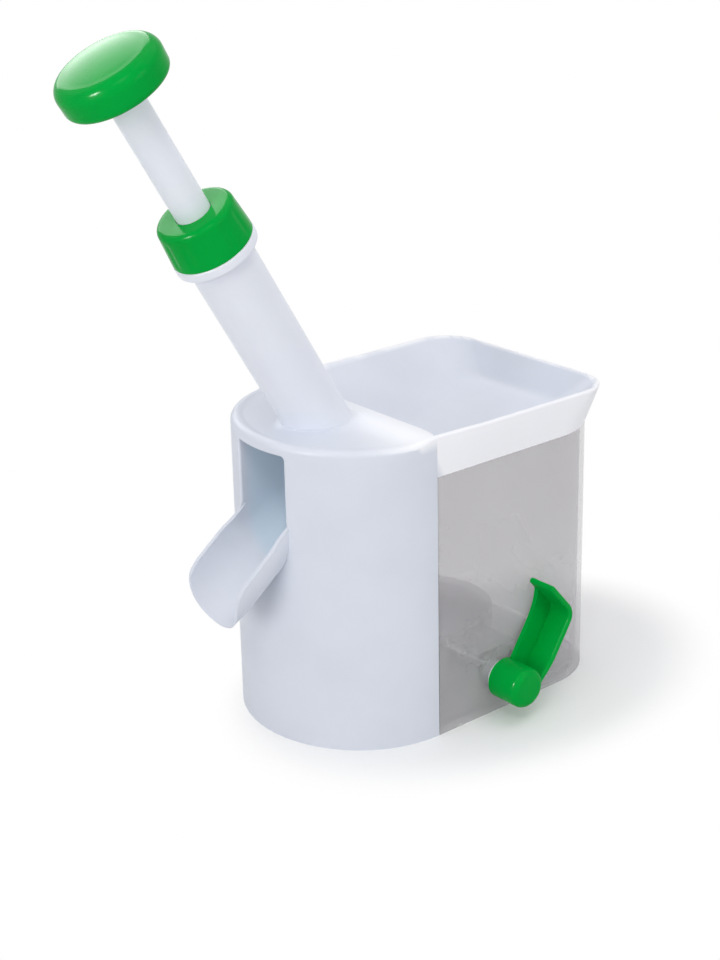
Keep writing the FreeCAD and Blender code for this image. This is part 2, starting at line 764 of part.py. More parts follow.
def make_lever():
    """Green lever: hub, bent strip with its end lip, and the web beside the wall."""
    inner = half_width + wall_bush_lip + running_gap
    outer = half_width + hub_reach
    hub = bar_x(hub_radius, inner, outer, 0, 0)
    hub = hub.makeFillet(hub_round, [e for e in hub.Edges if e.BoundBox.XMin > outer - EPS])

    def profile(points_and_arcs):
        return Part.Face(Part.Wire(points_and_arcs))

    def p(v, u):
        return Vector(inner, v, u)

    back = hub_radius
    face = back - arm_thickness
    outer_bend = arm_bend
    inner_bend = arm_bend - arm_thickness
    top = arm_length
    mid = math.sqrt(0.5)
    cx, cz = back - outer_bend, top - outer_bend
    strip = profile([
        Part.makeLine(p(face, 0), p(back, 0)),
        Part.makeLine(p(back, 0), p(back, cz)),
        Part.Arc(p(back, cz), p(cx + outer_bend * mid, cz + outer_bend * mid), p(cx, top)).toShape(),
        Part.makeLine(p(cx, top), p(back - lip_length, top)),
        Part.makeLine(p(back - lip_length, top), p(back - lip_length, top - arm_thickness)),
        Part.makeLine(p(back - lip_length, top - arm_thickness), p(cx, top - arm_thickness)),
        Part.Arc(p(cx, top - arm_thickness), p(cx + inner_bend * mid, cz + inner_bend * mid),
                 p(face, cz)).toShape(),
        Part.makeLine(p(face, cz), p(face, 0)),
    ]).extrude(X * arm_width)
    low = top - arm_thickness - web_fillet
    web = profile([
        Part.makeLine(p(0, 0), p(back - EPS, 0)),
        Part.makeLine(p(back - EPS, 0), p(back - EPS, cz)),
        Part.makeLine(p(back - EPS, cz), p(cx, top - EPS)),
        Part.makeLine(p(cx, top - EPS), p(back - lip_length, top - EPS)),
        Part.makeLine(p(back - lip_length, top - EPS), p(back - lip_length, top - arm_thickness)),
        Part.Arc(p(back - lip_length, top - arm_thickness),
                 p((back - lip_length) * web_hollow, top - arm_thickness - web_fillet * web_hollow),
                 p(0, low)).toShape(),
        Part.makeLine(p(0, low), p(0, 0)),
    ]).extrude(X * web_thickness)
    body = hub.multiFuse([strip, web])
    body = body.cut(bar_x(shaft_radius, 0, outer - hub_end, 0, 0))
    body.rotate(Vector(0, 0, 0), X, -arm_lean)
    body.translate(Vector(0, 0, shaft_z))
    return body.removeSplitter()


NODES = {
    "main_housing": make_housing,
    "discharge_chute": make_chute,
    "seat_holder": make_seat_holder,
    "cherry_seat": make_seat,
    "guide_tube": make_guide_tube,
    "stripper_bush": make_bush,
    "spring_washer": make_washer,
    "return_spring": make_spring,
    "guide_ring": make_guide_ring,
    "guide_collar": make_collar,
    "plunger_rod": make_rod,
    "plunger_knob": make_knob,
    "spring_piston": make_piston,
    "pitting_pin": make_pin,
    "pit_container": make_container,
    "suction_frame": make_suction_frame,
    "frame_screws": make_frame_screws,
    "suction_cup": make_cup,
    "cup_plate": make_cup_plate,
    "suction_stem": make_stem,
    "eccentric_cam": make_cam,
    "lever_shaft": make_shaft,
    "shaft_clip": make_clip,
    "wall_bush": make_wall_bush,
    "suction_lever": make_lever,
}

os.makedirs("parts", exist_ok=True)
for name, make in NODES.items():
    shape = make()
    box_now = shape.BoundBox
    print("%-16s solids %d valid %s volume %8.0f  x %.1f %.1f  y %.1f %.1f  z %.1f %.1f" % (
        name, len(shape.Solids), shape.isValid(), shape.Volume, box_now.XMin, box_now.XMax,
        box_now.YMin, box_now.YMax, box_now.ZMin, box_now.ZMax))
    shape.exportStep("parts/" + name + ".step")
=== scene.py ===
"""Looks for the table-top cherry pitter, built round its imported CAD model.

Each new piece is worked out with numpy as sheets: grids of points, or a profile carried along a path
or turned round an axis. It stands on the sizes of the solid that it replaces.
"""
from collections import namedtuple
import json
import math

import bmesh
import bpy
import numpy as np
from mathutils import Matrix, Vector


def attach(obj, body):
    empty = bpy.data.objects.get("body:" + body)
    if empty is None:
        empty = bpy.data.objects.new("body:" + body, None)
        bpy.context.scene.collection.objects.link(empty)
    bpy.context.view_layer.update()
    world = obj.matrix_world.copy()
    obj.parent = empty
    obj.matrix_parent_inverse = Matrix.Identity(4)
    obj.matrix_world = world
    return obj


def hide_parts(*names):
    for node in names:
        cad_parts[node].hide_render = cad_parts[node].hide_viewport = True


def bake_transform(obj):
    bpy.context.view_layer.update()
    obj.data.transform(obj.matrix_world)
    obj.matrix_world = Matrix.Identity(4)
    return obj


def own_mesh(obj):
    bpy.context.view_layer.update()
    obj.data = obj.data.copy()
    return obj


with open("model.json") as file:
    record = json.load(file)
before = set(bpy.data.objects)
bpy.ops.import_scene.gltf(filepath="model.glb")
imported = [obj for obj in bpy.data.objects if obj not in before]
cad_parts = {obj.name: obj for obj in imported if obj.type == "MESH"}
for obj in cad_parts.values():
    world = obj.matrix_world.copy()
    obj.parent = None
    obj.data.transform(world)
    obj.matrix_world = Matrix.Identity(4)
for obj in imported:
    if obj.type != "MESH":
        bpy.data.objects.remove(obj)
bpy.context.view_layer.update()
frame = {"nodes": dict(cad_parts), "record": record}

# Sizes in millimetres, as in the CAD model. +X is the lever's side, -Y the spout's, +Z up.
MM = 0.001
# The front shell is half an ellipse in plan, and the container closes the body behind the seam
HALF, DEPTH, SEAM = 50.0, 47.8, -33.5
REAR, CORNER = 65.2, 31.0
DECK, DECK_CLIMB, SHOULDER, SKIRT = 124.6, 14.0, 2.6, 110.0
RIM, RIM_FLARE, RIM_WIDTH, RIM_CORNER, RIM_REAR, RIM_EDGE = 126.3, 1.5, 1.9, 18.0, 64.5, 0.8
# The shell's wall, and the parts of it that are left in the hopper's sides and in its rim
SHELL_WALL, SIDE_SHARE, RIM_SHARE = 2.2, 0.86, 0.4
# The mouth in the shell, from its half width at the jambs to the arched lintel
MOUTH_HALF, WIDE, LINTEL, ARCH, ROLL_START = 13.95, 15.5, 120.6, 2.6, 90.5
# The chute: a ramp under the seat, a soft bend, and the steeper spout that starts at (y, z)
BORE, CHUTE_WALL = 14.0, 1.8
OUT_SLOPE, IN_SLOPE = math.radians(38.5), math.radians(27.0)
SPOUT_START = np.array((-79.0, 89.2))
# The guide tube leans forwards from its foot on the deck
TILT = math.radians(30.3)
TUBE_FOOT = np.array((0.0, -51.3, DECK))
TUBE, TUBE_BORE, TUBE_LOW = 12.7, 10.7, 119.0
AXIS = np.array((0.0, -math.sin(TILT), math.cos(TILT)))
ACROSS = np.array((1.0, 0.0, 0.0))
UPWARD = np.array((0.0, math.cos(TILT), math.sin(TILT)))
MIRROR = np.array((-1.0, 1.0, 1.0))
# Points that lie closer than this, in metres, are one point
WELD_DISTANCE = 2e-6


# Shapes

Sheet = namedtuple("Sheet", "points faces share light")


def smooth(t):
    """Zero below 0, one above 1, and a smooth S between them: 3 t squared less 2 t cubed."""
    t = np.clip(t, 0, 1)
    return t * t * (3 - 2 * t)


def sheet(points, wrap_rows=False, wrap_cols=False, keep=None, share=1.0, light=0.0):
    """Grid of points with quads that join each one to its neighbours; keep masks the cells that stay.
    share is the part of the wall's thickness and light the share of painted light, at each point."""
    rows, cols = points.shape[:2]
    i, j = np.meshgrid(np.arange(rows if wrap_rows else rows - 1),
                       np.arange(cols if wrap_cols else cols - 1), indexing="ij")
    down, side = (i + 1) % rows, (j + 1) % cols
    faces = np.stack([i * cols + j, i * cols + side, down * cols + side, down * cols + j], -1)
    faces = faces[np.broadcast_to(True if keep is None else keep, i.shape)]
    share, light = (np.broadcast_to(values, (rows, cols)).reshape(-1) for values in (share, light))
    return Sheet(points.reshape(-1, 3), faces, share, light)


def rounded(corners, steps=6):
    """Outline through (a, b, radius) corners, each one replaced by an arc tangent to both its sides:
    the arc's centre lies radius / sin(half the corner's angle) in, on the line that halves the corner."""
    out = []
    for k, (a, b, radius) in enumerate(corners):
        tip = np.array((a, b))
        if not radius:
            out.append(tip[None])
            continue
        back = np.array(corners[k - 1][:2]) - tip
        ahead = np.array(corners[(k + 1) % len(corners)][:2]) - tip
        back, ahead = back / np.linalg.norm(back), ahead / np.linalg.norm(ahead)
        half = math.acos(np.clip(back @ ahead, -1, 1)) / 2
        middle = (back + ahead) / np.linalg.norm(back + ahead)
        centre = tip + middle * radius / math.sin(half)
        start, end = tip + back * radius / math.tan(half), tip + ahead * radius / math.tan(half)
        first = math.atan2(*(start - centre)[::-1])
        sweep = (math.atan2(*(end - centre)[::-1]) - first + math.pi) % (2 * math.pi) - math.pi
        angle = first + sweep * np.linspace(0, 1, steps + 1)
        out.append(centre + radius * np.stack([np.cos(angle), np.sin(angle)], -1))
    return np.concatenate(out)


def closed(profile):
    """Profile with its first point again at its end, so that what it is carried along closes."""
    return np.concatenate([profile, profile[:1]])


def on_tube(radius, along, angle):
    """Point at a radius and an angle round the tube's tilted axis, a distance along it from the deck."""
    radius, along, angle = np.broadcast_arrays(radius, along, angle)
    ring = np.cos(angle)[..., None] * ACROSS + np.sin(angle)[..., None] * UPWARD
    return TUBE_FOOT + along[..., None] * AXIS + radius[..., None] * ring


def upright(radius, along, angle):
    """Point at a radius and an angle round the Z axis, at a height."""
    return np.stack([radius * np.cos(angle), radius * np.sin(angle), along], -1)


def turned(profile, cols, place=on_tube, shape=None):
    """Profile of (radius, along) points turned once round an axis, as one sheet. place puts a radius,
    a distance along the axis and an angle into space, and shape may change the first two before."""
    angle = np.linspace(0, 2 * math.pi, cols, endpoint=False)[None]
    radius, along, angle = np.broadcast_arrays(profile[:, :1], profile[:, 1:], angle)
    if shape:
        radius, along = shape(radius, along, angle)
    return sheet(place(radius, along, angle), wrap_cols=True)


def in_space(plan, level):
    """Points in space from plan points and their heights."""
    plan, level = np.broadcast_arrays(plan, np.asarray(level)[..., None])
    return np.concatenate([plan, level[..., :1]], -1)


def curve_between(start, pull, end, t):
    """Point at t on the curve from start to end that is tangent to the lines to pull: start times
    (1 - t) squared, plus pull times 2 t (1 - t), plus end times t squared."""
    return start * (1 - t) ** 2 + pull * 2 * t * (1 - t) + end * t * t


# Meshes

def keep_values(mesh, name, values):
    """Stores one number for each point of a mesh."""
    mesh.attributes.new(name, "FLOAT", "POINT").data.foreach_set("value", values.astype(np.float32))


def read_values(mesh, name):
    """The numbers that keep_values stored."""
    values = np.empty(len(mesh.vertices), np.float32)
    mesh.attributes[name].data.foreach_get("value", values)
    return values


def outward_share(mesh, centre):
    """Sum over the faces of area times normal times the way out from a centre. It is negative where
    the faces look inwards."""
    count = len(mesh.polygons)
    normal, middle, area = np.empty(3 * count), np.empty(3 * count), np.empty(count)
    mesh.polygons.foreach_get("normal", normal)
    mesh.polygons.foreach_get("center", middle)
    mesh.polygons.foreach_get("area", area)
    away = middle.reshape(-1, 3) - np.array(centre) * MM
    return float(((normal.reshape(-1, 3) * away).sum(1) * area).sum())


def weld(mesh):
    """Joins points that meet, drops faces without area, and turns all faces the same way out."""
    work = bmesh.new()
    work.from_mesh(mesh)
    bmesh.ops.remove_doubles(work, verts=work.verts, dist=WELD_DISTANCE)
    bmesh.ops.dissolve_degenerate(work, edges=work.edges, dist=WELD_DISTANCE / 2)
    bmesh.ops.recalc_face_normals(work, faces=work.faces)
    work.to_mesh(mesh)
    work.free()


def thicken(piece, wall):
    """Gives a sheet its wall, inwards, thinner where the share kept on its points is below one."""
    solidify = piece.modifiers.new("wall", "SOLIDIFY")
    solidify.thickness = wall * MM
    solidify.offset = -1
    solidify.use_even_offset = True
    members = piece.vertex_groups.new(name="wall")
    shares = np.round(read_values(piece.data, "wall_share") * 50) / 50
    for share in np.unique(shares):
        members.add(np.nonzero(shares == share)[0].tolist(), float(share), "REPLACE")
    solidify.vertex_group = "wall"


def round_edges(piece, width, crease=35.0):
    """Rounds the edges that turn by more than the crease's degrees."""
    edge = piece.modifiers.new("edges", "BEVEL")
    edge.width = width * MM
    edge.segments = 3
    edge.limit_method = "ANGLE"
    edge.angle_limit = math.radians(crease)
    edge.harden_normals = True
    edge.use_clamp_overlap = True


def build(name, sheets, body, finish, replaced, wall=0.0, bevel=0.0, outward=None, crease=35.0):
    """One piece from sheets that are welded where they meet, in place of a CAD node. outward is a
    point that its outer side faces away from. body is None for a piece that is attached to no body."""
    mesh = bpy.data.meshes.new(name)
    start = np.cumsum([0] + [len(part.points) for part in sheets])
    faces = np.concatenate([part.faces + first for part, first in zip(sheets, start)])
    points = np.concatenate([part.points for part in sheets]) * MM
    mesh.from_pydata(points.tolist(), [], faces.tolist())
    if wall:
        # Each point's share of painted light is kept for the finish, which paints a brighter white there.
        keep_values(mesh, "wall_share", np.concatenate([part.share for part in sheets]))
        keep_values(mesh, "painted_light", np.concatenate([part.light for part in sheets]))
    weld(mesh)
    if outward is not None and outward_share(mesh, outward) < 0:
        mesh.flip_normals()
    piece = bpy.data.objects.new(name, mesh)
    bpy.context.scene.collection.objects.link(piece)
    mesh.shade_smooth()
    if wall:
        thicken(piece, wall)
    if bevel:
        round_edges(piece, bevel, crease)
    else:
        mesh.set_sharp_from_angle(angle=math.radians(crease))
    mesh.materials.append(finish)
    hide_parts(replaced)
    if body:
        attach(piece, body)
    return piece


# Shader tools

class Wire:
    """A shader value; Python's operators on it add Math nodes."""

    def __init__(self, tree, socket):
        self.tree, self.socket = tree, socket

    def math_node(self, operation, first, second):
        return make_node(self.tree, "ShaderNodeMath", {"operation": operation}, {0: first, 1: second})

    def __add__(self, other):
        return self.math_node("ADD", self, other)

    def __sub__(self, other):
        return self.math_node("SUBTRACT", self, other)

    def __rsub__(self, other):
        return self.math_node("SUBTRACT", other, self)

    def __mul__(self, other):
        return self.math_node("MULTIPLY", self, other)

    __radd__, __rmul__ = __add__, __mul__

    def above(self, edge, width):
        """Smooth step from 0 to 1 as the value passes edge, over a width."""
        return make_node(self.tree, "ShaderNodeMapRange", {"interpolation_type": "SMOOTHSTEP"},
                         {"Value": self, "From Min": edge - width / 2, "From Max": edge + width / 2})


def make_node(tree, kind, settings=None, sockets=None, out=0):
    """Adds a node: its settings first, then the values or links of its sockets; returns an output."""
    node = tree.nodes.new(kind)
    for key, value in (settings or {}).items():
        setattr(node, key, value)
    for key, value in (sockets or {}).items():
        if isinstance(value, Wire):
            tree.links.new(value.socket, node.inputs[key])
        else:
            node.inputs[key].default_value = value
    return Wire(tree, node.outputs[out]) if len(node.outputs) else None


def linear(red, green, blue):
    """Shader colour of a display colour given in 0 to 255."""
    shares = [v / 255 for v in (red, green, blue)]
    return tuple(v / 12.92 if v <= 0.04045 else ((v + 0.055) / 1.055) ** 2.4 for v in shares) + (1.0,)


def start_finish(name):
    """An empty material, its node tree, and its Object coordinates in millimetres."""
    finish = bpy.data.materials.new(name)
    finish.use_nodes = True
    tree = finish.node_tree
    tree.nodes.clear()
    place = make_node(tree, "ShaderNodeTexCoord", out="Object")
    return finish, tree, make_node(tree, "ShaderNodeVectorMath", {"operation": "SCALE"},
                                   {0: place, "Scale": 1 / MM})


def noise(tree, place, per_mm, detail=2.0, rough=0.5):
    """Noise value with so many features to the millimetre."""
    return make_node(tree, "ShaderNodeTexNoise", None,
                     {"Vector": place, "Scale": per_mm, "Detail": detail, "Roughness": rough})


def blend_colours(tree, share, low, high):
    """Colour that goes from low to high as share goes from 0 to 1."""
    factor, first, second, result = 0, 6, 7, 2
    return make_node(tree, "ShaderNodeMix", {"data_type": "RGBA"},
                     {factor: share, first: low, second: high}, out=result)


def bump(tree, height, strength, depth):
    """Normal of a fine relief, with its depth in millimetres."""
    return make_node(tree, "ShaderNodeBump", None,
                     {"Height": height, "Strength": strength, "Distance": depth * MM})


def close_finish(tree, sockets):
    """Principled surface with those sockets, joined to the output."""
    surface = make_node(tree, "ShaderNodeBsdfPrincipled", None, sockets)
    make_node(tree, "ShaderNodeOutputMaterial", None, {"Surface": surface})


# Finishes

def moulded(name, colour, shade, rough, relief=0.04, speck=0.05, shine=0.5, pale=None):
    """Injection-moulded plastic: cloudy tone, fine satin grain, and a faint orange-peel relief, so many
    millimetres deep. pale is the colour of its painted light, a brighter tone blended in by each point's
    share of painted light."""
    finish, tree, place = start_finish(name)
    cloud = noise(tree, place, 0.035, 3.0)
    grain = noise(tree, place, 1.6, 2.0)
    peel = noise(tree, place, 0.45, 2.0, 0.4)
    tone = blend_colours(tree, cloud.above(0.5, 0.5), shade, colour)
    if pale:
        painted_light = make_node(tree, "ShaderNodeAttribute", {"attribute_name": "painted_light"}, out="Fac")
        tone = blend_colours(tree, painted_light, tone, pale)
    rub = noise(tree, place, 0.16, 4.0, 0.6)
    gloss = rough + (grain - 0.5) * speck + (rub - 0.5) * speck * 1.5
    close_finish(tree, {"Base Color": tone, "Roughness": gloss, "Coat Roughness": 0.06,
                        "IOR": 1.5, "Specular IOR Level": shine,
                        "Normal": bump(tree, peel + grain * 0.12, 0.35, relief)})
    return finish


def frosted():
    """Translucent container plastic: hazy, with a matt inner grain, and paler up to about 65 mm, which is
    painted light against the shade of the parts inside.
    """
    finish, tree, place = start_finish("frosted_plastic")
    cloud = noise(tree, place, 0.03, 3.0)
    grain = noise(tree, place, 1.8, 2.0)
    height = make_node(tree, "ShaderNodeSeparateXYZ", None, {"Vector": place}, out="Z")
    wall = blend_colours(tree, cloud.above(0.5, 0.6), linear(200, 196, 200), linear(208, 205, 208))
    # The lower wall is paler as painted light, to lift the shade of the parts seen through it.
    foot = blend_colours(tree, cloud.above(0.5, 0.6), linear(214, 211, 215), linear(220, 217, 220))
    tone = blend_colours(tree, height.above(60.0, 70.0), foot, wall)
    close_finish(tree, {"Base Color": tone, "Roughness": 0.30 + (grain - 0.5) * 0.06, "IOR": 1.45,
                        "Alpha": 0.32 + (cloud - 0.5) * 0.06, "Normal": bump(tree, grain, 0.3, 0.02)})
    return finish


def steel():
    """Turned stainless steel, with fine marks round the shaft."""
    finish, tree, place = start_finish("steel")
    marks = noise(tree, place, 3.0, 3.0)
    cloud = noise(tree, place, 0.2, 2.0)
    tone = blend_colours(tree, cloud, linear(188, 190, 194), linear(206, 207, 210))
    close_finish(tree, {"Base Color": tone, "Metallic": 1.0, "Roughness": 0.2 + marks * 0.12,
                        "Normal": bump(tree, marks, 0.2, 0.01)})
    return finish


SHELL_TONES = linear(221, 225, 235), linear(217, 221, 231)
WHITE = moulded("white_plastic", *SHELL_TONES, rough=0.38, relief=0.03, shine=0.15)
# The tube and the plunger's rod have a lighter copy of the shell's white, as painted light.
LIT_TUBE_WHITE = moulded("tube_white_plastic", linear(236, 239, 247), linear(232, 235, 244), rough=0.36,
                     relief=0.03, shine=0.18)
# Its pale colour is painted light: a brighter white on the deck and shoulder towards the hopper, and on the
# hopper's wall and rim.
TOP_WHITE = moulded("top_white_plastic", *SHELL_TONES, rough=0.38, relief=0.03, shine=0.08,
                    pale=linear(251, 251, 255))
# Its pale colour is a painted blue-grey shade tint for the chute inside the mouth.
CHUTE_WHITE = moulded("chute_white_plastic", *SHELL_TONES, rough=0.38, relief=0.03, shine=0.15,
                      pale=linear(211, 226, 239))
GREEN = moulded("green_plastic", linear(0, 164, 62), linear(0, 157, 58), rough=0.16, relief=0.02,
                speck=0.04, shine=0.04)
GREY = moulded("grey_plastic", linear(218, 220, 224), linear(210, 212, 217), rough=0.42)
NYLON = moulded("nylon", linear(224, 224, 218), linear(214, 214, 206), rough=0.38, relief=0.03)
SOFT_SEAT = moulded("soft_seat", linear(206, 209, 205), linear(196, 200, 196), rough=0.55, relief=0.05)
RUBBER = moulded("rubber", linear(196, 200, 198), linear(182, 187, 186), rough=0.5, relief=0.06)
FROSTED = frosted()
STEEL = steel()
FINISHES = {"white": WHITE, "green": GREEN, "frosted": FROSTED, "nylon": NYLON, "grey_plastic": GREY,
            "steel": STEEL, "rubber": RUBBER, "soft_seat": SOFT_SEAT}


# CAD nodes that stay

def finish_cad_nodes():
    """Gives each CAD node the finish of its slot, and the container soft edges."""
    for row in frame["record"]["subparts"]:
        node = frame["nodes"][row["node"]]
        if not node.material_slots:
            node.data.materials.append(None)
        for place in node.material_slots:
            place.material = FINISHES[row["material_slot"]]
    container = frame["nodes"]["pit_container"]
    container.modifiers.new("weld", "WELD").merge_threshold = WELD_DISTANCE
    round_edges(container, 0.5)


# Top moulding: shell, deck, hopper

SIDE_COLS, MOUTH_COLS = 26, 25
MOUTH_FIRST, MOUTH_LAST = SIDE_COLS - 1, SIDE_COLS + MOUTH_COLS - 2
REAR_SIDE, REAR_ARC, REAR_BACK = 16, 16, 12
FRONT_RIM_COLS = 61
CREST_ROWS, ROLL_ROWS, FILLET_ROWS, THROAT_ROWS = 7, 8, 8, slice(2, 12)
# The hopper's floor, from (y, z) at the feed throat to (y, z) at the rear
FLOOR_FRONT, FLOOR_REAR = np.array((-23.0, 100.0)), np.array((REAR - 9.0, 112.0))
FLOOR_FRONT_HALF, FLOOR_REAR_HALF, FLOOR_CORNER = 12.5, 30.0, 8.0


def lift(y):
    """Share of the deck's own low level at a depth y: one over the spout, zero at the hopper."""
    return smooth((SEAM - y) / DECK_CLIMB)


def deck_level(y):
    """Height of the deck, which climbs to the hopper's rim behind the tube."""
    return RIM - (RIM - DECK) * lift(y)


def painted_light_share(points):
    """Share of painted light on the deck and shell, a brighter white that grows towards the hopper and the
    lever's
    side: a smooth step as y + 0.35 x goes from the tube's middle to the hopper."""
    start, run, skew = -53.0, 34.0, 0.35
    return smooth((points[..., 1] + skew * points[..., 0] - start) / run)


def front_stations(mouth):
    """Plan points and outward normals of the half ellipse x = HALF cos(a), y = SEAM - DEPTH sin(a),
    from +X round the front to -X, with columns at the mouth's two sides."""
    edge = math.acos(mouth / HALF)
    side = np.linspace(0, edge, SIDE_COLS)
    across = mouth * np.sin(np.linspace(math.pi / 2, -math.pi / 2, MOUTH_COLS))
    angle = np.concatenate([side, np.arccos(across[1:-1] / HALF), math.pi - side[::-1]])
    plan = np.stack([HALF * np.cos(angle), SEAM - DEPTH * np.sin(angle)], -1)
    normal = np.stack([np.cos(angle) / HALF, -np.sin(angle) / DEPTH], -1)
    return plan, normal / np.linalg.norm(normal, axis=1)[:, None]


def rear_outline(half, rear, corner, flare=0.0):
    """Plan points and outward normals of a round-cornered outline, from -X at the seam round the rear
    to +X. The sides draw in by the flare towards the seam."""
    down = np.linspace(SEAM, rear - corner, REAR_SIDE)
    angle = np.linspace(0, math.pi / 2, REAR_ARC)[1:]
    side = np.stack([-half + flare * (1 - smooth((down - SEAM) / 30.0)), down], -1)
    arc_n = np.stack([-np.cos(angle), np.sin(angle)], -1)
    arc = np.array((corner - half, rear - corner)) + corner * arc_n
    back_x = np.linspace(corner - half, half - corner, REAR_BACK)[1:-1]
    back = np.stack([back_x, np.full(len(back_x), rear)], -1)
    half_plan = np.concatenate([side, arc])
    half_n = np.concatenate([np.tile((-1.0, 0.0), (REAR_SIDE, 1)), arc_n])
    plan = np.concatenate([half_plan, back, half_plan[::-1] * MIRROR[:2]])
    return plan, np.concatenate([half_n, np.tile((0.0, 1.0), (len(back), 1)), half_n[::-1] * MIRROR[:2]])


def crest(plan_at, normal, top, radius, inner, levels):
    """Wall rows at the levels given, a quarter round up to the top, and the flat that follows it
    inwards. At an angle a of the quarter round, the row lies radius (1 - cos a) in from the wall and
    radius (1 - sin a) under the top."""
    grid = [in_space(plan_at(level), level) for level in levels]
    for a in np.linspace(0, math.pi / 2, CREST_ROWS):
        level = top - radius + radius * math.sin(a)
        grid.append(in_space(plan_at(level) - normal * (radius * (1 - math.cos(a)))[:, None], level))
    grid.append(in_space(plan_at(top) - normal * inner[:, None], top))
    return np.stack(grid)


def front_shell():
    """Upper front shell, from the skirt over the shoulder to the deck, with its normals and wall shares.
    Its second row is the mouth's arched top: flat, with a quarter of a circle at each end. The
    shoulder's radius grows from the rim's to the full one over the spout."""
    plan, normal = front_stations(WIDE)
    low = lift(plan[:, 1])
    over = np.abs(plan[:, 0])
    arch_in = np.clip((over - (WIDE - ARCH)) / ARCH, 0, 1)
    beside = 1 - smooth((over - WIDE) / 10.0)
    lintel = LINTEL - ARCH * np.where(over <= WIDE + 0.001, 1 - np.sqrt(1 - arch_in ** 2), beside)
    grid = crest(lambda level: plan, normal, deck_level(plan[:, 1]), RIM_EDGE + (SHOULDER - RIM_EDGE) * low,
                 RIM_WIDTH + (SHOULDER + 0.3 - RIM_WIDTH) * low, [np.full(len(plan), SKIRT), lintel])
    share = np.repeat(RIM_SHARE + (1 - RIM_SHARE) * low[None], len(grid), 0)
    share[:2] = SIDE_SHARE + (1 - SIDE_SHARE) * low
    return grid, normal, share


def rear_shell():
    """Hopper's outer wall, lofted from the skirt's outline to the rim's, and its rim."""
    low_plan, _ = rear_outline(HALF, REAR, CORNER)
    top_plan, top_n = rear_outline(HALF + RIM_FLARE, RIM_REAR, RIM_CORNER, RIM_FLARE)

    def plan_at(level):
        climb = np.clip((level - SKIRT) / (RIM - SKIRT), 0, 1)[:, None]
        return low_plan + (top_plan - low_plan) * climb

    rim, edge, width, skirt, loft_row = (np.full(len(low_plan), value)
                                         for value in (RIM, RIM_EDGE, RIM_WIDTH, SKIRT, 119.0))
    grid = crest(plan_at, top_n, rim, edge, width, [skirt, loft_row])
    share = np.full(grid.shape[:2], RIM_SHARE)
    share[:2] = SIDE_SHARE
    return grid, share


def lower_walls():
    """The shell under the mouth, up to the middle of the chute's own wall, and the walls beside the
    mouth, whose half width grows with the height from the chute's bore to the jambs."""
    wall_middle = BORE + CHUTE_WALL / 2
    plan, _ = front_stations(BORE)
    x = np.clip(plan[:, 0], -BORE, BORE)
    y = SEAM - DEPTH * np.sqrt(1 - (x / HALF) ** 2)
    under = (y - SPOUT_START[0]) * math.sin(OUT_SLOPE) - np.sqrt(wall_middle ** 2 - x ** 2)
    sill = SPOUT_START[1] + under / math.cos(OUT_SLOPE)
    low = np.stack([in_space(plan, sill * share) for share in np.linspace(0, 1, 7)])
    levels = np.array((sill[0], 84.0, 85.5, 88.0, ROLL_START, 91.3, 92.2, 93.2, 98.0, 104.0, SKIRT))
    half = BORE + CHUTE_WALL / 2 * smooth((levels - sill[0]) / 2.6)
    half = half + (WIDE - wall_middle) * smooth((levels - 89.5) / 2.5)
    beside = np.stack([in_space(front_stations(x)[0], z) for x, z in zip(half, levels)])
    return low, beside


def mouth_roll(front, front_n, beside):
    """The mouth's edge, rolled inwards on a curve from the shell's surface to the chute's side walls:
    up one jamb, along the lintel and down the other. It fades out at the foot of the jambs."""
    first = int(np.argmax(beside[:, 0, 2] == ROLL_START))
    up, down = beside[first:, MOUTH_FIRST], beside[first:, MOUTH_LAST][::-1]
    lintel = slice(MOUTH_FIRST, MOUTH_LAST + 1)
    line = np.concatenate([up, front[1, lintel], down])
    normal = np.concatenate([np.tile(front_n[MOUTH_FIRST], (len(up), 1)), front_n[lintel],
                             np.tile(front_n[MOUTH_LAST], (len(down), 1))])
    normal = in_space(normal, np.zeros(len(normal)))
    travel = np.gradient(line, axis=0)
    inward = np.cross(normal, travel / np.linalg.norm(travel, axis=1)[:, None])
    inward = inward / np.linalg.norm(inward, axis=1)[:, None]
    full = smooth((line[:, 2] - ROLL_START) / 2.7)
    reach = (0.6 + ((WIDE - MOUTH_HALF) / 0.95 - 0.6) * inward[:, 0] ** 2) * full
    backwards = np.array((0.0, 1.0, 0.0))
    pull = line + inward * reach[:, None]
    end = pull + backwards * reach[:, None]
    rows = [curve_between(line, pull, end, t) for t in np.linspace(0, 1, ROLL_ROWS)]
    rows.append(pull + backwards * 2.6 * np.maximum(full, 0.02)[:, None])
    return np.stack(rows)


def front_rim_line(half):
    """Inner edge of the hopper's front rim, nearly straight between the two side rims."""
    x = np.linspace(-1, 1, FRONT_RIM_COLS)
    x = np.sign(x) * np.abs(x) ** 0.9
    inner = SEAM + RIM_WIDTH
    return in_space(np.stack([x * half, inner - RIM_WIDTH * np.abs(x) ** 16], -1), RIM)


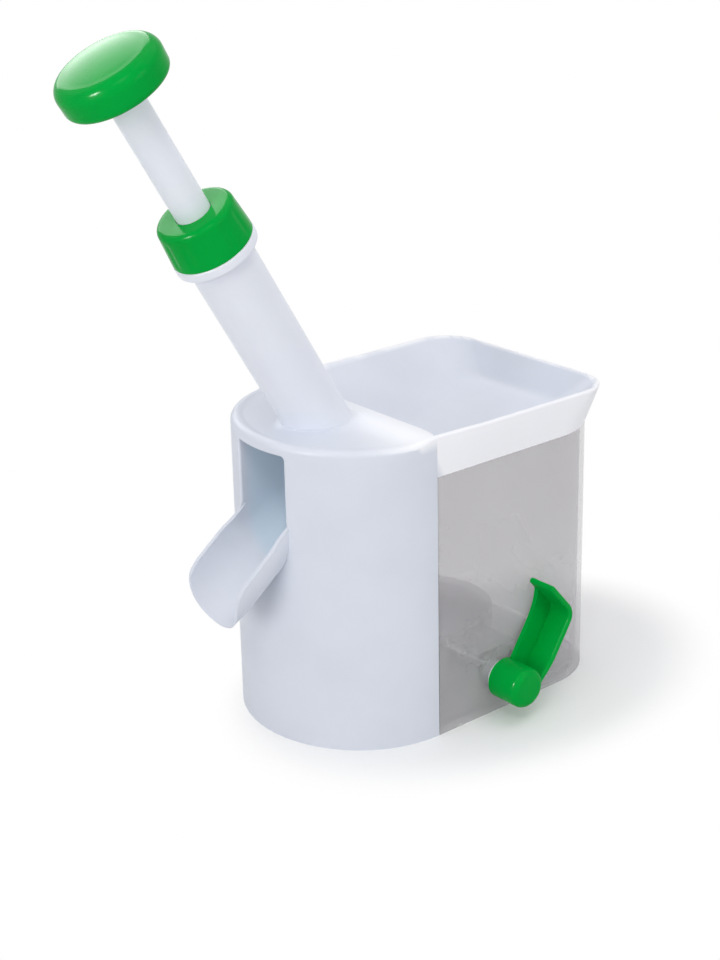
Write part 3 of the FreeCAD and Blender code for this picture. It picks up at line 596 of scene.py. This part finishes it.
def deck_sheet(rim):
    """The deck, in rings from the tube's foot out to its rim. The hole is the ellipse that the tilted
    tube cuts, its edge turns up a little against the tube, and the deck is dished between the two.
    The first rings are steps out from the hole, the others shares of the way to the rim."""
    hole = TUBE + 0.05
    angle = np.arctan2(rim[:, 1] - TUBE_FOOT[1], rim[:, 0])
    way = np.stack([np.cos(angle), np.sin(angle)], -1)
    hole_reach = 1 / np.hypot(np.cos(angle) / hole, np.sin(angle) * math.cos(TILT) / hole)
    rows = []
    for step_out, rise in ((0.0, 0.9), (0.1, 0.5), (0.3, 0.2), (0.9, 0.0)):
        plan = TUBE_FOOT[:2] + way * (hole_reach + step_out)[:, None]
        level = deck_level(plan[:, 1]) + rise
        plan[:, 1] -= (level - DECK) * math.tan(TILT)
        rows.append(in_space(plan, level))
    inner = rows[-1][:, :2]
    for share in (0.15, 0.3, 0.45, 0.6, 0.72, 0.8, 0.86, 0.9, 0.94, 0.97):
        plan = inner + (rim[:, :2] - inner) * share
        away = np.linalg.norm(rim[:, :2] - plan, axis=1)
        dish = 0.35 * smooth((away - 0.9) / 1.3) * lift(plan[:, 1]) * smooth((0.9 - share) / 0.3 + 0.8)
        rows.append(in_space(plan, deck_level(plan[:, 1]) - dish))
    return np.stack(rows + [rim])


def floor_level(y):
    """Height of the hopper's floor, which falls evenly towards the feed throat."""
    run, rise = FLOOR_REAR - FLOOR_FRONT
    return FLOOR_FRONT[1] + rise * (y - FLOOR_FRONT[0]) / run


def floor_stations():
    """Plan points of the floor's edge that match the rim's stations: slanting sides from the throat,
    round corners, and a straight rear."""
    slant = np.array((FLOOR_REAR_HALF - FLOOR_FRONT_HALF, FLOOR_REAR[0] - FLOOR_FRONT[0]))
    slant = slant / np.linalg.norm(slant)
    reach = FLOOR_CORNER * math.tan(math.acos(-slant[0]) / 2)
    tip = np.array((FLOOR_REAR_HALF, FLOOR_REAR[0]))
    end = tip - slant * reach
    side = np.linspace((FLOOR_FRONT_HALF, FLOOR_FRONT[0]), end, REAR_SIDE)
    centre = np.array((tip[0] - reach, FLOOR_REAR[0] - FLOOR_CORNER))
    angle = np.linspace(math.atan2(*(end - centre)[::-1]), math.pi / 2, REAR_ARC)[1:]
    arc = centre + FLOOR_CORNER * np.stack([np.cos(angle), np.sin(angle)], -1)
    right = np.concatenate([side, arc])
    back_x = np.linspace(-centre[0], centre[0], REAR_BACK)[1:-1]
    back = np.stack([back_x, np.full(len(back_x), FLOOR_REAR[0])], -1)
    return np.concatenate([right * MIRROR[:2], back, right[::-1]])


def bowl_sheet(rear_rim, front_line):
    """The hopper's bowl, in rings from the rim down its walls, round a fillet and along the floor to a
    line in the middle, and the mask that leaves the feed throat open in its front wall."""
    front_back = front_line[::-1][1:-1]
    rim = np.concatenate([rear_rim, front_back])
    floor_edge = floor_stations()
    front_x = np.clip(front_back[:, 0], -FLOOR_FRONT_HALF, FLOOR_FRONT_HALF)
    front_edge = np.stack([front_x, np.full(len(front_x), FLOOR_FRONT[0])], -1)
    edge = np.concatenate([floor_edge, front_edge])
    edge = in_space(edge, floor_level(edge[:, 1]))
    centre_y = np.clip(edge[:, 1], FLOOR_FRONT[0] + 6, FLOOR_REAR[0] - 16)
    centre = in_space(np.stack([np.zeros(len(centre_y)), centre_y], -1), floor_level(centre_y))
    fillet = 0.22 * smooth((edge[:, 1] - FLOOR_FRONT[0]) / 20.0)[:, None]
    wall_end, floor_start = edge + (rim - edge) * fillet, edge + (centre - edge) * (fillet + 0.05)
    rows = [rim + (edge - rim) * (1 - fillet) * t for t in (0, 0.1, 0.28, 0.5, 0.75, 1.0)]
    rows += [curve_between(wall_end, edge, floor_start, t) for t in np.linspace(0, 1, FILLET_ROWS)[1:]]
    rows += [floor_start + (centre - floor_start) * t for t in (0.3, 0.6, 1.0)]
    over_throat = (np.abs(rim[:, 0]) < FLOOR_FRONT_HALF) & (np.arange(len(rim)) > len(floor_edge))
    keep = np.ones((len(rows) - 1, len(rim)), bool)
    keep[THROAT_ROWS] = ~(over_throat & np.roll(over_throat, -1))
    return np.stack(rows), keep


def top_moulding():
    """The white top moulding as one wall, of sheets that share their edges."""
    front, front_n, front_share = front_shell()
    rear, rear_share = rear_shell()
    low, beside = lower_walls()
    roll = mouth_roll(front, front_n, beside)
    rim_line = front_rim_line(abs(rear[-1, 0, 0]))
    deck = deck_sheet(np.concatenate([front[-1], rim_line[1:-1]]))
    bowl, bowl_keep = bowl_sheet(rear[-1], rim_line)
    column = np.arange(front.shape[1] - 1)
    off_mouth = (column < MOUTH_FIRST) | (column >= MOUTH_LAST)
    front_keep = np.ones((len(front) - 1, len(column)), bool)
    front_keep[0] = off_mouth
    deck_share = np.ones(deck.shape[:2])
    deck_share[-1] = RIM_SHARE
    deck_share[-1, :front.shape[1]] = front_share[-1]
    bowl_share = (RIM_SHARE + (1 - RIM_SHARE) * smooth(np.arange(len(bowl)) / 3))[:, None]
    # The hopper's rim gets part of the painted light, a brighter white, and the bowl below it none.
    bowl_painted_light = np.where(np.arange(len(bowl)) == 0, 0.6, 0.0)[:, None]
    sheets = [
        # The deck and the top of the shoulder get painted light, a brighter white that grows towards the
        # hopper.
        sheet(front, keep=front_keep, share=front_share, light=painted_light_share(front) * (front[..., 2] > DECK - 1.5)),
        # The hopper's outer wall has painted light in full, a brighter white.
        sheet(rear, share=rear_share, light=1.0),
        sheet(low),
        sheet(beside, keep=off_mouth),
        sheet(roll, share=np.linspace(1, 0.3, len(roll))[:, None]),
        sheet(deck, wrap_cols=True, share=deck_share, light=0.9 * painted_light_share(deck)),
        sheet(bowl, wrap_cols=True, keep=bowl_keep, share=bowl_share, light=bowl_painted_light),
    ]
    build("top_moulding", sheets, "housing", TOP_WHITE, "main_housing", wall=SHELL_WALL,
          bevel=0.45, outward=(0, 0, 60))


# Spout and chute

LIP_RISE, LIP_END, TONGUE = 1.4, 24.0, 40.4
RING_OUT, CEILING, MOUTH_Y = 15.45, 119.4, -77.2
SOFT_BEND, TONGUE_TURN = 6.0, math.radians(42)
LEG, BOWL = 8, 41
ACROSS_BOWL = np.linspace(-1, 1, BOWL)


def heading(slope):
    """Side-view directions (y, z) forwards down a slope, and square to it downwards."""
    return np.array((-math.cos(slope), -math.sin(slope))), np.array((math.sin(slope), -math.cos(slope)))


AHEAD_OUT, UNDER_OUT = heading(OUT_SLOPE)
AHEAD_IN, UNDER_IN = heading(IN_SLOPE)
RAMP_RISE = BORE / math.cos(IN_SLOPE) - BORE / math.cos(OUT_SLOPE)
RAMP_START = SPOUT_START + np.array((0.0, RAMP_RISE))
TO_BEND = RAMP_RISE / (math.tan(IN_SLOPE) - math.tan(OUT_SLOPE)) / math.cos(OUT_SLOPE)
BEND = SPOUT_START + AHEAD_OUT * abs(TO_BEND)
LIP_START = SPOUT_START - UNDER_OUT * LIP_RISE


def lip_depth(run):
    """Depth of the spout's lip below its axis: level, then a cubic down to the tongue's tip."""
    return -LIP_RISE + (BORE + LIP_RISE) * (np.clip(run - LIP_END, 0, None) / (TONGUE - LIP_END)) ** 3


def lip_run(depth):
    """Run at which the lip is so deep: the inverse of lip_depth."""
    return LIP_END + (TONGUE - LIP_END) * np.cbrt((depth + LIP_RISE) / (BORE + LIP_RISE))


def lip_height(y):
    """Height of the level lips at a depth y, on the spout's own slope."""
    return LIP_START[1] + (y - LIP_START[0]) * math.tan(OUT_SLOPE)


def section(middle, under, lip, top):
    """One cross-section: an arc x = BORE sin(b), (y, z) = middle + BORE cos(b) under, between the
    angles b where it is as deep as the lip, and upright legs from its ends to the height top."""
    b = math.acos(np.clip(lip / BORE, 0, 1)) * ACROSS_BOWL
    arc = np.concatenate([BORE * np.sin(b)[:, None], middle + BORE * np.cos(b)[:, None] * under], 1)
    rise = max(top - arc[0, 2], 0.0) if lip <= 0 else 0.0
    leg = arc[:1] + np.array((0.0, 0.0, rise)) * np.linspace(1, 0, LEG + 1)[:-1, None]
    return np.concatenate([leg, arc, (leg * MIRROR)[::-1]])


def ramp_rows():
    """The ramp, from the seat ring to the mouth: one section slid along the slope. A point meets the
    ring where its distance from the tube's axis is RING_OUT, the nearer root of a square equation."""
    base = section(RAMP_START, UNDER_IN, 0.0, 0.0)
    slide = np.array((0.0, *-AHEAD_IN))
    offset = base - TUBE_FOOT
    away = offset - np.outer(offset @ AXIS, AXIS)
    step = slide - (slide @ AXIS) * AXIS
    a, half_b, c = step @ step, away @ step, (away ** 2).sum(1) - RING_OUT ** 2
    to_ring = (-half_b - np.sqrt(np.clip(half_b ** 2 - a * c, 0, None))) / a
    to_mouth = (MOUTH_Y - RAMP_START[0]) / math.cos(IN_SLOPE)
    climb = np.linspace(1, 0, LEG + 1)[:-1]
    rows = []
    for share in np.linspace(1, 0, 13):
        grid = base + (to_mouth + (to_ring - to_mouth) * share)[:, None] * slide
        grid[:LEG, 2] += (CEILING - grid[:LEG, 2]) * climb
        grid[-LEG:, 2] += (CEILING - grid[-LEG:, 2]) * climb[::-1]
        rows.append(grid)
    return rows


def bend_rows():
    """From the mouth's plane round the soft bend: the middle follows a curve tangent to both slopes."""
    rows = []
    for y in (MOUTH_Y - 0.25, -80.5):
        middle = RAMP_START + AHEAD_IN * (RAMP_START[0] - y) / math.cos(IN_SLOPE)
        rows.append(section(middle, UNDER_IN, 0.0, lip_height(y)))
    for t in np.linspace(0, 1, 9):
        middle = curve_between(BEND - AHEAD_IN * SOFT_BEND, BEND, BEND + AHEAD_OUT * SOFT_BEND, t)
        under = UNDER_IN * (1 - t) + UNDER_OUT * t
        rows.append(section(middle, under / np.linalg.norm(under), 0.0, lip_height(middle[0])))
    return rows


def spout_rows():
    """The open spout and its tongue. On the tongue the sections bulge forwards in the middle, as far as
    the lip's own curve is ahead there, so that the last one is the rounded tip."""
    rows = []
    for run in np.linspace(np.linalg.norm(BEND - SPOUT_START) + SOFT_BEND, LIP_END, 6)[1:]:
        middle = SPOUT_START + AHEAD_OUT * run
        rows.append(section(middle, UNDER_OUT, -LIP_RISE, lip_height(middle[0])))
    last_run = float(lip_run(BORE * math.cos(TONGUE_TURN)))
    bulge = lip_run(BORE * np.cos(TONGUE_TURN * ACROSS_BOWL)) - last_run
    for share in np.sin(np.linspace(0, math.pi / 2, 26))[1:]:
        run = LIP_END + (last_run - LIP_END) * share
        middle, depth = SPOUT_START + AHEAD_OUT * run, float(lip_depth(run))
        grid = section(middle, UNDER_OUT, depth, middle[1] - depth / math.cos(OUT_SLOPE))
        grid[LEG:-LEG, 1:] += (bulge * share ** 3)[:, None] * AHEAD_OUT
        rows.append(grid)
    return rows


def discharge_spout():
    """Ramp, bend and spout as one sheet, which widens a little where it leaves the shell and is thin at
    the tongue. Inside the mouth, where the shell shades it, it has a painted blue-grey shade tint."""
    grid = np.stack(ramp_rows() + bend_rows() + spout_rows())
    run = (grid[..., 1:] - SPOUT_START) @ AHEAD_OUT
    grid[..., 0] *= 1 + 0.08 * smooth((run - 3.0) / 9.0)
    # light paints the blue-grey shade tint inside the mouth, fading out just past the mouth's plane.
    wall = sheet(grid, share=1 - 0.55 * smooth((run - 28.0) / 11.0),
                 light=smooth((grid[..., 1] + 78.5) / 6.0))
    build("discharge_spout", [wall], "housing", CHUTE_WHITE, "discharge_chute", wall=CHUTE_WALL,
          bevel=0.35, outward=(0, -80, -2000))


# Guide tube, collar, plunger

FLANGE_LOW, FLANGE_TOP, FLANGE_OUT, THREAD_TOP = 85.7, 89.8, 16.4, 98.6
FLUTES, FLUTE_DEPTH = 12, 0.3
ROD, ROD_LOW, ROD_TOP = 6.8, 88.0, 166.0
KNOB, KNOB_LOW, KNOB_TOP, KNOB_CROWN = 20.6, 158.5, 172.4, 2.6


def guide_tube_body():
    """Tube with its flange and threaded neck. Its foot is cut level under the deck."""

    def level_foot(radius, along, angle):
        level = (TUBE_LOW - DECK - radius * np.sin(angle) * math.sin(TILT)) / math.cos(TILT)
        return radius, np.where(along <= 0.001, level, along)

    neck = TUBE + 0.5
    profile = rounded([
        (TUBE_BORE, 0, 0), (TUBE, 0, 0), (TUBE, FLANGE_LOW, 0.8), (FLANGE_OUT, FLANGE_LOW, 0.9),
        (FLANGE_OUT, FLANGE_TOP, 0.7), (neck, FLANGE_TOP, 0.3), (neck, THREAD_TOP, 0.4),
        (TUBE_BORE, THREAD_TOP, 0.4)])
    build("guide_tube_body", [turned(closed(profile), 112, shape=level_foot)], "housing",
          LIT_TUBE_WHITE, "guide_tube", crease=50)


def screw_collar():
    """Green screw cap. Its side has shallow finger flutes, a clipped cosine squared round the axis,
    that fade out at both ends."""

    def fluted(radius, along, angle):
        dip = np.clip(np.cos(FLUTES * angle), 0, 1) ** 2
        dip = dip * smooth((along - 91.0) / 1.6) * smooth((103.4 - along) / 2.4)
        return radius - FLUTE_DEPTH * dip * (radius > 14.2), along

    profile = rounded([
        (6.9, 105.2, 0.25), (15.1, 105.4, 2.5), (16.3, FLANGE_TOP, 0.5), (13.3, FLANGE_TOP, 0),
        (13.3, 98.8, 0), (TUBE_BORE, 98.8, 0), (TUBE_BORE, 102.4, 0), (6.9, 102.4, 0)], 8)
    side_end = int(np.argmax(profile[:, 1] < 102.0))
    side = np.linspace(profile[side_end - 1], profile[side_end], 12)[1:-1]
    profile = closed(np.concatenate([profile[:side_end], side, profile[side_end:]]))
    build("screw_collar", [turned(profile, 192, shape=fluted)], "housing", GREEN, "guide_collar",
          crease=50)


def plunger_shank():
    """White rod of the plunger."""
    profile = rounded([(0, ROD_LOW, 0), (ROD, ROD_LOW, 0), (ROD, ROD_TOP, 0), (0, ROD_TOP, 0)])
    build("plunger_shank", [turned(profile, 80)], "plunger", LIT_TUBE_WHITE, "plunger_rod", crease=50)


def palm_knob():
    """Green knob: a crown that is part of a ball, a soft edge, and a side that draws in to the foot."""
    ball = (KNOB ** 2 + KNOB_CROWN ** 2) / (2 * KNOB_CROWN)
    radius = (KNOB - 5.8) * np.linspace(0, 1, 14)
    top = np.stack([radius, KNOB_TOP - ball + np.sqrt(ball ** 2 - radius ** 2)], -1)
    hole, hole_top = 7.0, ROD_TOP + 0.4
    side = rounded([(0, KNOB_TOP, 0), (top[-1, 0] + 0.001, top[-1, 1], 0),
                    (KNOB - 0.1, KNOB_TOP - KNOB_CROWN + 0.7, 5.2), (KNOB - 0.5, KNOB_LOW, 2.6),
                    (hole, KNOB_LOW, 0), (hole, hole_top, 0), (0, hole_top, 0)], 10)[2:]
    build("palm_knob", [turned(np.concatenate([top, side]), 160)], "plunger", GREEN,
          "plunger_knob", crease=50)


# Spring and suction cup

COIL, WIRE, TURNS, COIL_LOW, COIL_TOP, STROKE = 7.6, 0.65, 9, 14.09, 79.84, 45.0
CUP_NECK, CUP_LOW, CUP_HIGH = 2.5, 0.001, 0.0046


def plunger_spring():
    """Round wire on a helix about the tube's axis, closed at its ends."""
    share = np.linspace(0, 1, TURNS * 26 + 1)[:, None]
    angle, along = 2 * math.pi * TURNS * share, COIL_LOW + (COIL_TOP - COIL_LOW) * share
    ring = np.linspace(0, 2 * math.pi, 12, endpoint=False)[None]
    outwards = np.cos(angle)[..., None] * ACROSS + np.sin(angle)[..., None] * UPWARD
    round_way = np.cos(angle)[..., None] * UPWARD - np.sin(angle)[..., None] * ACROSS
    lead = (COIL_TOP - COIL_LOW) / (2 * math.pi * TURNS * COIL)
    square_way = (AXIS - lead * round_way) / math.hypot(1, lead)
    grid = on_tube(COIL, along, angle) + WIRE * (
        np.cos(ring)[..., None] * outwards + np.sin(ring)[..., None] * square_way)
    ends = [np.repeat(row.mean(1, keepdims=True), 12, 1) for row in (grid[:1], grid[-1:])]
    grid = np.concatenate([ends[0], grid, ends[1]])
    spring = build("plunger_spring", [sheet(grid, wrap_cols=True)], "housing", STEEL,
                   "return_spring", crease=50)
    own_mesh(spring)


def rubber_cup():
    """Suction cup: a shallow cone with a thin rim."""
    outline = rounded([(CUP_NECK, 4.6, 0), (7.0, 4.6, 0), (28.4, 0.3, 0), (28.4, 2.3, 0.4), (26.4, 2.3, 0),
                       (10.0, 6.1, 2.0), (CUP_NECK, 6.1, 0)], 6)
    under = np.linspace(outline[1], outline[2], 14)[1:-1]
    profile = closed(np.concatenate([outline[:2], under, outline[2:]]))
    cup = build("rubber_cup", [turned(profile, 96, upright)], None, RUBBER, "suction_cup",
                crease=50)
    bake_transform(cup)


# Cam lever

SHAFT_Z, LEAN = 14.9, math.radians(33.0)
INNER_X, ARM_X, OUTER_X, HUB, SHAFT_HOLE = 51.5, 64.3, 66.8, 8.4, 3.02
THICK, BEND_MID, ARM_TOP, LIP_UP, LIP_TIP = 2.4, 6.0, 36.9, math.radians(16.5), -7.6
WEB, WEB_EDGE, WEB_STRAIGHT = 2.0, -0.8, 24.0


def lever_point(x, v, u):
    """Point at x, with v across the arm and u along it, leant back from the vertical."""
    x, v, u = np.broadcast_arrays(x, v, u)
    return np.stack([x, v * math.cos(LEAN) + u * math.sin(LEAN),
                     SHAFT_Z - v * math.sin(LEAN) + u * math.cos(LEAN)], -1)


def on_shaft(radius, along, angle):
    """Point at a radius and an angle round the lever's shaft."""
    return lever_point(along, radius * np.cos(angle), radius * np.sin(angle))


def arm_path():
    """Middle line (v, u) of the strip: up from the hub, round the bend, and along the rising lip."""
    up = np.linspace(0, ARM_TOP - BEND_MID, 22)
    line = np.stack([HUB - THICK / 2 + 2.4 * smooth(up / 16.0), up], -1)
    angle = np.linspace(0, math.pi / 2 - LIP_UP, 12)[1:]
    centre = line[-1] - np.array((BEND_MID, 0.0))
    bend = centre + BEND_MID * np.stack([np.cos(angle), np.sin(angle)], -1)
    out = np.linspace(bend[-1, 0], LIP_TIP, 9)[1:]
    lip = np.stack([out, bend[-1, 1] + (bend[-1, 0] - out) * math.tan(LIP_UP)], -1)
    return np.concatenate([line, bend, lip])


def arm_strip(path):
    """Rounded strip carried along the path, square to it, which narrows to nothing at a round tip."""
    along = np.gradient(path, axis=0)
    along /= np.linalg.norm(along, axis=1)[:, None]
    side = np.stack([along[:, 1], -along[:, 0]], -1)
    outline = rounded([(INNER_X, -THICK / 2, 0.5), (ARM_X, -THICK / 2, 0.9), (ARM_X, THICK / 2, 0.9),
                       (INNER_X, THICK / 2, 0.5)], 5)
    tip = np.linspace(0, math.pi / 2, 6)[1:]
    middle = np.concatenate([path[:1], path, path[-1] + np.outer(np.sin(tip) * THICK / 2, along[-1])])
    side = np.concatenate([side[:1], side, np.tile(side[-1], (len(tip), 1))])
    thick = np.concatenate([[0.0], np.ones(len(path)), np.cos(tip)])[:, None]
    wide = np.concatenate([[0.0], np.ones(len(path)), 1 - 0.06 * (1 - np.cos(tip))])[:, None]
    centre = (INNER_X + ARM_X) / 2
    across = middle[:, None] + side[:, None] * (outline[:, 1] * thick)[..., None]
    points = lever_point(centre + (outline[:, 0] - centre) * wide, across[..., 0], across[..., 1])
    return sheet(points, wrap_cols=True)


def arm_web(path):
    """Plate that closes the arm next to the container's wall. Its free edge runs straight up and then
    along a quarter of an ellipse to the lip's tip."""
    rise = path[-1, 1] - WEB_STRAIGHT - 0.4
    up = WEB_STRAIGHT + rise * np.sin(np.linspace(0, math.pi / 2, 20))[1:]
    u = np.concatenate([np.linspace(0, WEB_STRAIGHT, 22), up])
    quarter = np.sqrt(1 - np.clip((u - WEB_STRAIGHT) / rise, 0, 1) ** 2)
    free_edge = np.stack([WEB_EDGE + (LIP_TIP + 1.3) * (1 - quarter), u], -1)
    share = np.linspace(0, 1, 14)[:, None, None]
    plan = free_edge * (1 - share) + path * share
    front, back = (lever_point(x, plan[..., 0], plan[..., 1]) for x in (INNER_X + WEB, INNER_X))
    web = np.concatenate([front, back[::-1]])
    ends = [np.repeat(line.mean(0, keepdims=True), len(web), 0) for line in (web[:, :1], web[:, -1:])]
    return sheet(np.concatenate([ends[0], web, ends[1]], 1), wrap_rows=True)


def suction_cam_lever():
    """Green lever: hub, strip with its bent lip, and web."""
    path = arm_path()
    profile = closed(rounded([
        (SHAFT_HOLE, INNER_X, 0), (HUB, INNER_X, 0.3), (HUB, OUTER_X, 3.0), (0, OUTER_X, 0),
        (0, OUTER_X - 4, 0), (SHAFT_HOLE, OUTER_X - 4, 0)], 8))
    build("suction_cam_lever", [arm_strip(path), arm_web(path), turned(profile, 72, on_shaft)], "lever",
          GREEN, "suction_lever", bevel=0.35, crease=40)


# Set

def in_sight(tree):
    """One for rays from the camera, and for those that left a glossy or clear surface."""
    camera_ray, glossy_ray, clear_ray = (make_node(tree, "ShaderNodeLightPath", out=f"Is {kind} Ray")
                                         for kind in ("Camera", "Glossy", "Transmission"))
    return (camera_ray + glossy_ray + clear_ray).above(0.5, 0.2)


def pale_floor():
    """Paper floor that keeps the shadow in an ellipse round the object, and is white past it."""
    reach = 8.0
    mesh = bpy.data.meshes.new("floor")
    mesh.from_pydata([(-reach, -reach, 0), (reach, -reach, 0), (reach, reach, 0), (-reach, reach, 0)],
                     [], [(0, 1, 2, 3)])
    finish, tree, place = start_finish("floor_paper")
    seen = in_sight(tree)
    centre, half_size = (18.0, 16.0, 0.0), (85.0, 115.0, 1.0)
    offset = make_node(tree, "ShaderNodeVectorMath", {"operation": "SUBTRACT"}, {0: place, 1: centre})
    squeezed = make_node(tree, "ShaderNodeVectorMath", {"operation": "DIVIDE"}, {0: offset, 1: half_size})
    distance = make_node(tree, "ShaderNodeVectorMath", {"operation": "LENGTH"}, {0: squeezed}, out="Value")
    tone = blend_colours(tree, seen, (0.72, 0.72, 0.72, 1), (0.95, 0.95, 0.95, 1))
    paper = make_node(tree, "ShaderNodeBsdfDiffuse", None, {"Color": tone})
    glow = make_node(tree, "ShaderNodeEmission", None, {"Color": (1, 1, 1, 1), "Strength": 1.0})
    white = distance.above(0.88, 0.36) * seen
    mixed = make_node(tree, "ShaderNodeMixShader", None, {0: white, 1: paper, 2: glow})
    make_node(tree, "ShaderNodeOutputMaterial", None, {"Surface": mixed})
    mesh.materials.append(finish)
    floor = bpy.data.objects.new("floor", mesh)
    bpy.context.scene.collection.objects.link(floor)


def studio_world():
    """Even pale light, seen as plain white."""
    world = bpy.data.worlds.new("studio")
    bpy.context.scene.world = world
    world.use_nodes = True
    tree = world.node_tree
    tree.nodes.clear()
    seen = in_sight(tree)
    hue = blend_colours(tree, seen, (0.97, 0.98, 1.0, 1), (1, 1, 1, 1))
    sky = make_node(tree, "ShaderNodeBackground", None, {"Color": hue, "Strength": 0.5 + seen * 0.5})
    make_node(tree, "ShaderNodeOutputWorld", None, {"Surface": sky})


def lamp(name, place, target, size, power, gloss_only=False):
    """Soft square lamp at a place in metres, facing a target; gloss_only shows in reflections alone."""
    data = bpy.data.lights.new(name, "AREA")
    data.shape, data.size, data.energy = "SQUARE", size, power
    box = bpy.data.objects.new(name, data)
    bpy.context.scene.collection.objects.link(box)
    box.location = place
    box.rotation_mode = "QUATERNION"
    box.rotation_quaternion = (Vector(target) - Vector(place)).to_track_quat("-Z", "Y")
    box.visible_diffuse = not gloss_only


def studio_lamps():
    """Five soft boxes that light the object, and two lamps that only glint on it."""
    lamp("key_box", (0.75, -0.75, 1.25), (0, 0, 0.1), 0.5, 3.4)
    lamp("top_box", (0.1, 0.35, 1.4), (0, 0, 0.1), 1.2, 4.7)
    lamp("left_box", (-0.75, -0.7, 0.95), (0, -0.12, 0.2), 0.5, 0.8)
    lamp("side_box", (1.3, 0.35, 0.7), (0, 0, 0.1), 0.6, 3.3)
    lamp("front_box", (0.3, -1.3, 0.36), (0, -0.05, 0.12), 0.6, 4.5)
    lamp("knob_glow", (-1.25, 0.17, 1.04), (0, -0.13, 0.27), 1.0, 17.0, gloss_only=True)
    lamp("glint", (0.12, -1.45, 0.72), (0, -0.1, 0.2), 0.3, 50.0, gloss_only=True)


# Camera

EYE = np.array((518.2, -449.7, 354.1))
TURN, DIP, ROLL = math.radians(49.62), math.radians(18.77), math.radians(-0.82)
WIDTH, HEIGHT, FOCAL, CENTRE_X, CENTRE_Y, SENSOR = 720, 960, 1775.73, 400.12, 399.88, 36


def place_camera():
    """Camera fitted to the photograph: turned round Z, dipped, and rolled a little. Its focal length
    and the centre of its picture are in pixels, and the longer side of the picture spans the sensor."""
    right = np.array((math.cos(TURN), math.sin(TURN), 0.0))
    back = np.array((math.sin(TURN) * math.cos(DIP), -math.cos(TURN) * math.cos(DIP), math.sin(DIP)))
    upwards = np.cross(back, right)
    rolled = [right * math.cos(ROLL) + upwards * math.sin(ROLL),
              upwards * math.cos(ROLL) - right * math.sin(ROLL), back]
    data = bpy.data.cameras.new("camera")
    data.lens = FOCAL * SENSOR / HEIGHT
    data.shift_x = (WIDTH / 2 - CENTRE_X) / HEIGHT
    data.shift_y = (CENTRE_Y - HEIGHT / 2) / HEIGHT
    camera = bpy.data.objects.new("camera", data)
    bpy.context.scene.collection.objects.link(camera)
    camera.matrix_world = Matrix.Translation((EYE * MM).tolist()) @ Matrix(
        np.stack(rolled, 1).tolist()).to_4x4()
    bpy.context.scene.camera = camera
    bpy.context.scene.view_settings.view_transform = "Standard"


finish_cad_nodes()
for make_piece in (top_moulding, discharge_spout, guide_tube_body, screw_collar, plunger_shank, palm_knob,
                   plunger_spring, rubber_cup, suction_cam_lever):
    make_piece()
pale_floor()
studio_world()
studio_lamps()
place_camera()
